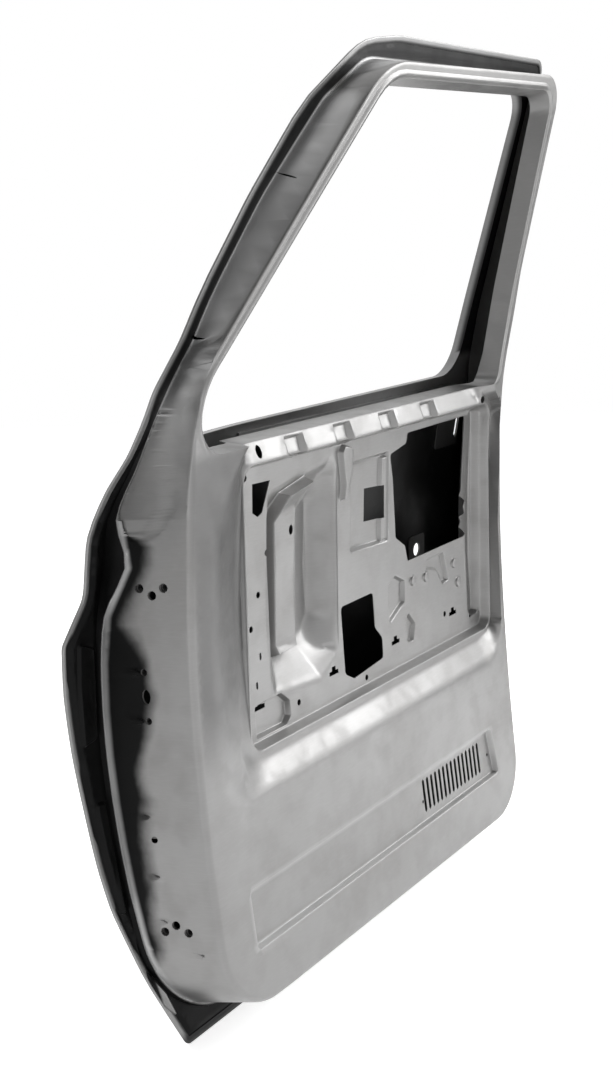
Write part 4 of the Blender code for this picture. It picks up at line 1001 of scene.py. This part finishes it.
def give_sheet(mesh, sheet, side):
    """Gives a bare surface the thickness of its sheet, on one side of it."""
    holder = bpy.data.objects.new("holder", mesh)
    bpy.context.scene.collection.objects.link(holder)
    solid = holder.modifiers.new("sheet", "SOLIDIFY")
    solid.thickness = sheet
    solid.offset = side
    thick = bpy.data.meshes.new_from_object(holder.evaluated_get(bpy.context.evaluated_depsgraph_get()))
    bpy.data.objects.remove(holder)
    return thick


def make_panel(material):
    """The deep-drawn inner panel."""
    rings = [crest_line.inset(share * CREASE_RADIUS).ring() for share in CREASE_RING_SHARES]
    rings += [FOOT_RING, LEDGE_RING, RISER_RING, HEM_RING, LIFT_RING, OPENING_RING]
    rings += [opening_line.inset(-BEAD_OFFSET - share * BEAD_HALF).ring() for share in BEAD_RING_SHARES]
    rings += [ring for step in [*face_steps, *bead_steps] for ring in step.rings]
    holes = panel_holes()
    low, high = PANEL_EDGE.min(0), PANEL_EDGE.max(0)
    fine_low, fine_high = (np.array(recess_place(share)) for share in FINE_AREA_SHARES)
    coarse = lattice(low, high, COARSE)
    outside = ((coarse < fine_low) | (coarse > fine_high)).any(1)
    fine = lattice(fine_low, fine_high, FINE)
    inner = np.concatenate([coarse[outside], fine])
    inner = inner[inside_by(PANEL_EDGE, inner[:, 0], inner[:, 1]) > HEM_WIDTH]
    inner = clear_of(inner, [*rings, *holes], 0.4 * FINE)
    flat, faces = triangulate(PANEL_EDGE, holes, rings, np.concatenate([inner, wall_points()]))
    points = np.stack([flat[:, 0], panel_depth(*flat.T), flat[:, 1]], 1)
    mesh = bpy.data.meshes.new("inner_panel_sheet")
    mesh.from_pydata(points.tolist(), [], faces.tolist())
    for name, painted_at in PANEL_PAINTED_LIGHT.items():
        mark(mesh, name, painted_at(*flat.T))
    mesh = give_sheet(mesh, PANEL_SHEET, -1)
    return finish_piece("pressed_inner_panel", mesh, material, "panel_steel", "inner_panel")


def wall_points():
    """Points down the hinge face, close enough to hold its press and dimples."""
    outs = np.arange(WALL_STEP, DOOR_DEPTH, WALL_STEP)
    ups = np.arange(WALL_FOOT, WALL_TOP, WALL_STRETCH * WALL_STEP)
    out, z = (a.ravel() for a in np.meshgrid(outs, ups))
    flat = np.stack([HINGE_WALL.place(out, z)[:, 0], z], 1)
    low, high = (np.array((x * HINGE_CREASE, height_of(up))) for x, up in PRESS_AREA_SHARES)
    press = lattice(low, high, PRESS_STEP)
    flat = np.concatenate([flat[z < press[:, 1].min()], press, dimple_points()])
    past_crest, to_foot = -inside_by(CREST_RING, *flat.T), inside_by(FOOT_RING, *flat.T)
    return flat[(to_foot > SMALL_WALL / 4) & (past_crest > SMALL_WALL / 4)]


def dimple_points():
    """Rings of points close enough to hold each dimple."""
    found = []
    for out, up, radius, _ in DIMPLE_SHARES:
        for k in range(1, 5):
            reach = k * radius * DOOR_DEPTH / 4
            ring = circle(out * DOOR_DEPTH, height_of(up), reach, reach, 14)
            found.append(np.stack([HINGE_WALL.place(*ring.T)[:, 0], ring[:, 1]], 1))
    return np.concatenate(found)


def hem_edge():
    """The inner edge of the hem, stepped back where the front of the flange is notched."""
    wide, narrow = (skin_line.inset(share * HEM_WIDTH).ring() for share in (1, HEM_NOTCH_SHARE))
    front = wide[:, 0] < HINGE_CREASE + SHOULDER_WIDTH
    notched = sum((wide[:, 1] < height_of(a)) & (wide[:, 1] > height_of(b)) for a, b in NOTCH_SHARES)
    return np.where((front & (notched > 0))[:, None], narrow, wide)


def make_skin(material):
    """The outer skin, hemmed over the panel's flange and turned in round the window."""
    bm = bmesh.new()

    def verts(ring, depth):
        y = skin_at(ring[:, 0], ring[:, 1]) - depth
        return [bm.verts.new(p) for p in zip(ring[:, 0], y, ring[:, 1])]

    def band(loops):
        for a, b in zip(loops, loops[1:]):
            for k in range(len(a)):
                j = (k + 1) % len(a)
                bm.faces.new((a[k], a[j], b[j], b[k]))

    def folds(outline, section):
        """The sheet's edge folded along an outline: each point of the section is inset and depth."""
        return [verts(outline.inset(inset).ring(), depth) for inset, depth in section]

    sheet, top = SKIN_SHEET, HEM_HEIGHT
    turns = [math.pi * k / 8 for k in range(9)]
    nose = [(top / 2 * (1 - math.sin(t)), top / 2 * (1 - math.cos(t))) for t in turns]
    inner = top / 2 - sheet
    bore = [(top / 2 - inner * math.sin(t), top / 2 + inner * math.cos(t)) for t in turns]
    edges = (verts(hem_edge(), depth) for depth in (top, top - sheet))
    band([*folds(skin_line, nose), *edges, *folds(skin_line, bore)])
    band(folds(skin_opening, ((0, 0), (0, RETURN_DEPTH), (-sheet, RETURN_DEPTH), (-sheet, sheet))))
    holes = skin_holes()
    for hole in holes:
        band([verts(hole, 0), verts(hole, sheet)])
    for depth in (0, sheet):
        boundary = skin_line.inset(top / 2).ring()
        cut = [skin_opening.inset(-depth).ring(), *holes]
        inner_points = lattice(boundary.min(0), boundary.max(0), SKIN_SPACING)
        keep = inside_by(boundary, inner_points[:, 0], inner_points[:, 1]) > HEM_WIDTH
        inner_points = clear_of(inner_points[keep], [boundary, *cut], SKIN_SPACING / 3)
        flat, faces = triangulate(boundary, cut, [], inner_points)
        found = verts(flat, depth)
        for face in faces:
            bm.faces.new([found[k] for k in face])
    bmesh.ops.remove_doubles(bm, verts=bm.verts, dist=2e-6)
    bmesh.ops.dissolve_degenerate(bm, edges=bm.edges, dist=1e-7)
    bmesh.ops.recalc_face_normals(bm, faces=bm.faces)
    mesh = bpy.data.meshes.new("outer_skin_sheet")
    bm.to_mesh(mesh)
    bm.free()
    # Painted shade inside the door, and the darker bottom hem, kept on the skin's points.
    mark(mesh, "painted_dark", painted_shade_inside_at(*np.array([tuple(vertex.co) for vertex in mesh.vertices]).T))
    return finish_piece("hemmed_outer_skin", mesh, material, "skin_steel", "outer_skin")


def painted_shade_inside_at(x, y, z):
    """Painted shade inside the outer skin, lighter by the belt; the hem along the bottom is darker too."""
    deep = skin_at(x, z) - y
    within = inside_by(HEM_RING, x, z) > -LIFT_WIDTH
    edge = np.abs(inside_by(skin_opening.ring(), x, z)) < 2 * SKIN_SHEET
    belt = ease(2.4 * BELT - np.abs(z - BELT), BELT)
    shaded_inside = ease(deep, 0.9 * SKIN_SHEET) * within * ~(edge & (z < 3 * BELT)) * (1 - 0.85 * belt)
    foot = 0.75 * ease(height_of(FOOT_DROP_SHARE) - z, 2 * STEP_WALL) * (deep > SKIN_SHEET)
    return np.maximum(shaded_inside, foot)


class Value:
    """A shader value: expressions on it add their own Math nodes."""

    def __init__(self, nodes, socket):
        self.nodes, self.socket = nodes, socket

    def maths(self, kind, *values):
        return self.nodes.add("ShaderNodeMath", {"operation": kind}, *values)

    def __add__(self, other):
        return self.maths("ADD", self, other)

    __radd__ = __add__

    def __sub__(self, other):
        return self.maths("SUBTRACT", self, other)

    def __rsub__(self, other):
        return self.maths("SUBTRACT", other, self)

    def __mul__(self, other):
        return self.maths("MULTIPLY", self, other)

    __rmul__ = __mul__

    def between(self, low, high):
        """How far the value has come from low to high, softly, from 0 to 1."""
        settings = {"interpolation_type": "SMOOTHSTEP"}
        return self.nodes.add("ShaderNodeMapRange", settings, self, low, high, 0.0, 1.0)


class Nodes:
    """A tree of shader nodes."""

    def __init__(self, tree):
        self.tree = tree

    def add(self, kind, settings, *values, output=0, **named):
        """Adds a node: its settings come first, then the values or links of its sockets."""
        node = self.tree.nodes.new(kind)
        for name, value in settings.items():
            setattr(node, name, value)
        for key, value in [*enumerate(values), *named.items()]:
            if isinstance(value, Value):
                self.tree.links.new(value.socket, node.inputs[key])
            elif value is not None:
                node.inputs[key].default_value = value
        return Value(self, node.outputs[output]) if node.outputs else None


class Shader(Nodes):
    """A finish built from object coordinates."""

    def __init__(self, name, roughness, metallic):
        self.material = bpy.data.materials.new(name)
        self.material.use_nodes = True
        super().__init__(self.material.node_tree)
        self.bsdf = self.tree.nodes["Principled BSDF"]
        self.bsdf.inputs["Roughness"].default_value = roughness
        self.bsdf.inputs["Metallic"].default_value = metallic
        self.place = self.add("ShaderNodeTexCoord", {}, output="Object")

    def noise(self, scale, detail=3.0, stretch=(1.0, 1.0, 1.0)):
        place = self.add("ShaderNodeMapping", {}, self.place, None, None, stretch)
        return self.add("ShaderNodeTexNoise", {}, Vector=place, Scale=scale, Detail=detail)

    def blend(self, share, colour, other):
        """A colour that goes from one to another as the share rises."""
        settings, skipped = {"data_type": "RGBA"}, [None] * 5
        return self.add("ShaderNodeMix", settings, share, *skipped, colour, other, output=2)

    def feed(self, name, value):
        self.tree.links.new(value.socket, self.bsdf.inputs[name])

    def kept(self, name):
        """A value kept on the points of the mesh."""
        return self.add("ShaderNodeAttribute", {"attribute_name": name}, output="Fac")

    def bump(self, height, distance, strength=1.0, over=None):
        sockets = {"Strength": strength, "Distance": distance, "Height": height, "Normal": over}
        return self.add("ShaderNodeBump", {}, **sockets)


def grey(level, warmth=0.0):
    """A linear grey with a little warmth."""
    return (level * (1 + warmth), level, level * (1 - warmth), 1.0)


def steel(name, level, roughness, metallic, warmth=0.0):
    """Bare pressed steel: a cloudy oily tone, darker patches and fine rolling marks."""
    shader = Shader(name, roughness, metallic)
    clouds = shader.noise(7.0, 4.0).between(0.35, 0.70)
    patches = shader.noise(28.0, 5.0).between(0.42, 0.66)
    grain = shader.noise(60.0, 4.0, (1.0, 1.0, 9.0))
    fine = shader.noise(420.0, 2.0)
    colour = shader.blend(clouds * 0.30, grey(level, warmth), grey(level * 0.78, warmth + 0.02))
    colour = shader.blend(patches * 0.06, colour, grey(level * 0.62, 0.05))
    colour = shader.blend(grain.between(0.40, 0.75) * 0.14, colour, grey(level * 1.25, warmth))
    shader.feed("Roughness", roughness - 0.05 + clouds * 0.08 + patches * 0.07 + fine * 0.04)
    relief = shader.bump(shader.noise(9.0, 2.0), 0.0004)
    relief = shader.bump(grain, 0.00008, 0.6, relief)
    shader.feed("Normal", shader.bump(fine, 0.00004, 0.5, relief))
    return shader, colour


def panel_steel():
    """The inner panel's finish: satin steel, with painted dark reflections on the hinge face and beside the
    recess, painted shade in the channel, and painted light on the pillar and along two bends.
    """
    shader, colour = steel("drawn_panel_steel", PANEL_LEVEL, SATIN, METALLIC, 0.006)
    ragged_edge = shader.noise(16.0, 4.0, (1.0, 1.0, 0.7))
    # Painted dark reflection on the hinge face, its edge made ragged by noise.
    painted_dark = (shader.kept("painted_dark") + (ragged_edge - 0.5) * 0.30).between(-0.05, PAINTED_DARK_SOFT_SHARE)
    # Painted shade in the channel, joined to the hinge face's painted dark reflection.
    painted_dark = painted_dark.maths("MAXIMUM", painted_dark, shader.kept("channel"))
    # Painted light: the pillar's face lifted towards a pale grey.
    colour = shader.blend(shader.kept("pillar") * 0.80, colour, grey(0.72))
    # Painted dark reflection on the slope beside the recess.
    colour = shader.blend(shader.kept("slope") * 0.60, colour, grey(0.05))
    colour = shader.blend(painted_dark * 0.985, colour, grey(0.006, -0.02))
    # Painted highlight: a bright line along the bend at the foot of the hinge face.
    foot_line = 1 - shader.kept("foot_gap").between(0.004, 0.018)
    # Painted highlight: a pale line along the top and front of the lower press.
    colour = shader.blend(shader.kept("line") * 0.8, colour, grey(0.62))
    shader.feed("Base Color", shader.blend(foot_line * 0.9, colour, grey(0.42)))
    # More metallic under the painted dark reflection and the channel's painted shade.
    shader.feed("Metallic", METALLIC + painted_dark * 0.25)
    return shader.material


def skin_steel():
    """The outer skin's finish: even rolled steel, with painted shade inside the door and a darker bottom hem.
    """
    shader, colour = steel("rolled_skin_steel", SKIN_LEVEL, SATIN, METALLIC)
    # Painted shade inside the door, and the darker bottom hem.
    painted_dark = shader.kept("painted_dark").between(0.3, 0.9)
    shader.feed("Base Color", shader.blend(painted_dark * 0.96, colour, grey(0.010)))
    return shader.material


def brace_steel():
    """The hidden plates' finish: dull steel with oil on it."""
    shader, colour = steel("plain_brace_steel", 0.12, 0.50, 0.60, 0.01)
    shader.feed("Base Color", colour)
    return shader.material


def aim(thing, place, target):
    thing.location = place
    thing.rotation_mode = "QUATERNION"
    thing.rotation_quaternion = (Vector(target) - Vector(place)).to_track_quat("-Z", "Y")


def add_lamp(name, place, target, width, height, power):
    """A soft rectangular lamp aimed at a point."""
    data = bpy.data.lights.new(name, "AREA")
    data.shape = "RECTANGLE"
    data.size, data.size_y, data.energy = width, height, power
    lamp = bpy.data.objects.new(name, data)
    aim(lamp, place, target)
    bpy.context.scene.collection.objects.link(lamp)


def set_world():
    """White behind the door and in its reflections, and a plain level of light on it."""
    world = bpy.data.worlds.new("studio")
    bpy.context.scene.world = world
    world.use_nodes = True
    nodes = Nodes(world.node_tree)
    nodes.tree.nodes.clear()
    rays = ("Is Camera Ray", "Is Glossy Ray", "Is Transmission Ray")
    camera, glossy, through = (nodes.add("ShaderNodeLightPath", {}, output=ray) for ray in rays)
    seen = camera.maths("MAXIMUM", camera, glossy.maths("MAXIMUM", glossy, through))
    levels = [nodes.add("ShaderNodeBackground", {}, WHITE, level) for level in (WORLD_LEVEL, 1.0)]
    nodes.add("ShaderNodeOutputWorld", {}, nodes.add("ShaderNodeMixShader", {}, seen, *levels))


def add_floor(level):
    """A pale floor that keeps the door's shadow."""
    bpy.ops.object.select_all(action="DESELECT")
    bpy.ops.mesh.primitive_plane_add(size=FLOOR_SIZE, location=(0, 0, level))
    floor = bpy.context.object
    floor.name = "studio_floor"
    shader = Shader("pale_floor", 0.9, 0.0)
    paper = shader.noise(3.0, 2.0)
    shader.feed("Base Color", shader.blend(paper, grey(0.90), grey(0.94)))
    shader.bsdf.inputs["Emission Color"].default_value = WHITE
    shader.bsdf.inputs["Emission Strength"].default_value = FLOOR_GLOW
    floor.data.materials.append(shader.material)
    floor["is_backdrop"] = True


def set_camera():
    """The photograph's viewing angle: a short lens from inside the car, a little above the belt."""
    data = bpy.data.cameras.new("view")
    data.sensor_fit = "VERTICAL"
    data.sensor_height = SENSOR
    data.lens = LENS
    data.clip_start, data.clip_end = 0.01, 50.0
    camera = bpy.data.objects.new("view", data)
    right, up, back = (Vector(axis) for axis in CAMERA_AXES)
    turn = Matrix((right, up, back)).transposed().to_4x4()
    camera.matrix_world = Matrix.Translation(CAMERA_PLACE) @ turn
    bpy.context.scene.collection.objects.link(camera)
    bpy.context.scene.camera = camera
    bpy.context.scene.view_settings.view_transform = "Standard"


def add_flag(name, place, target, width, height):
    """A dark card that only the steel's reflections see, as an unlit part of a studio."""
    bpy.ops.object.select_all(action="DESELECT")
    bpy.ops.mesh.primitive_plane_add(size=1)
    card = bpy.context.object
    card.name = name
    card.scale = (width, height, 1)
    aim(card, place, target)
    card.visible_camera = card.visible_diffuse = card.visible_shadow = card.visible_transmission = False
    shader = Shader(name + "_felt", 0.95, 0.0)
    shader.feed("Base Color", shader.blend(shader.noise(4.0), grey(0.02), grey(0.04)))
    card.data.materials.append(shader.material)
    card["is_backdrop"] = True


make_panel(panel_steel())
skin_finish = skin_steel()
make_skin(skin_finish)
brace = brace_steel()
for name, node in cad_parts.items():
    if name not in ("inner_panel", "outer_skin"):
        node.data.materials.clear()
        node.data.materials.append(skin_finish if name == "outer_belt_reinforcement" else brace)

set_camera()
set_world()
for lamp in LAMPS:
    add_lamp(*lamp)
for flag in FLAGS:
    add_flag(*flag)
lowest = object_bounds()[0].z
add_floor(lowest - CLEARANCE)
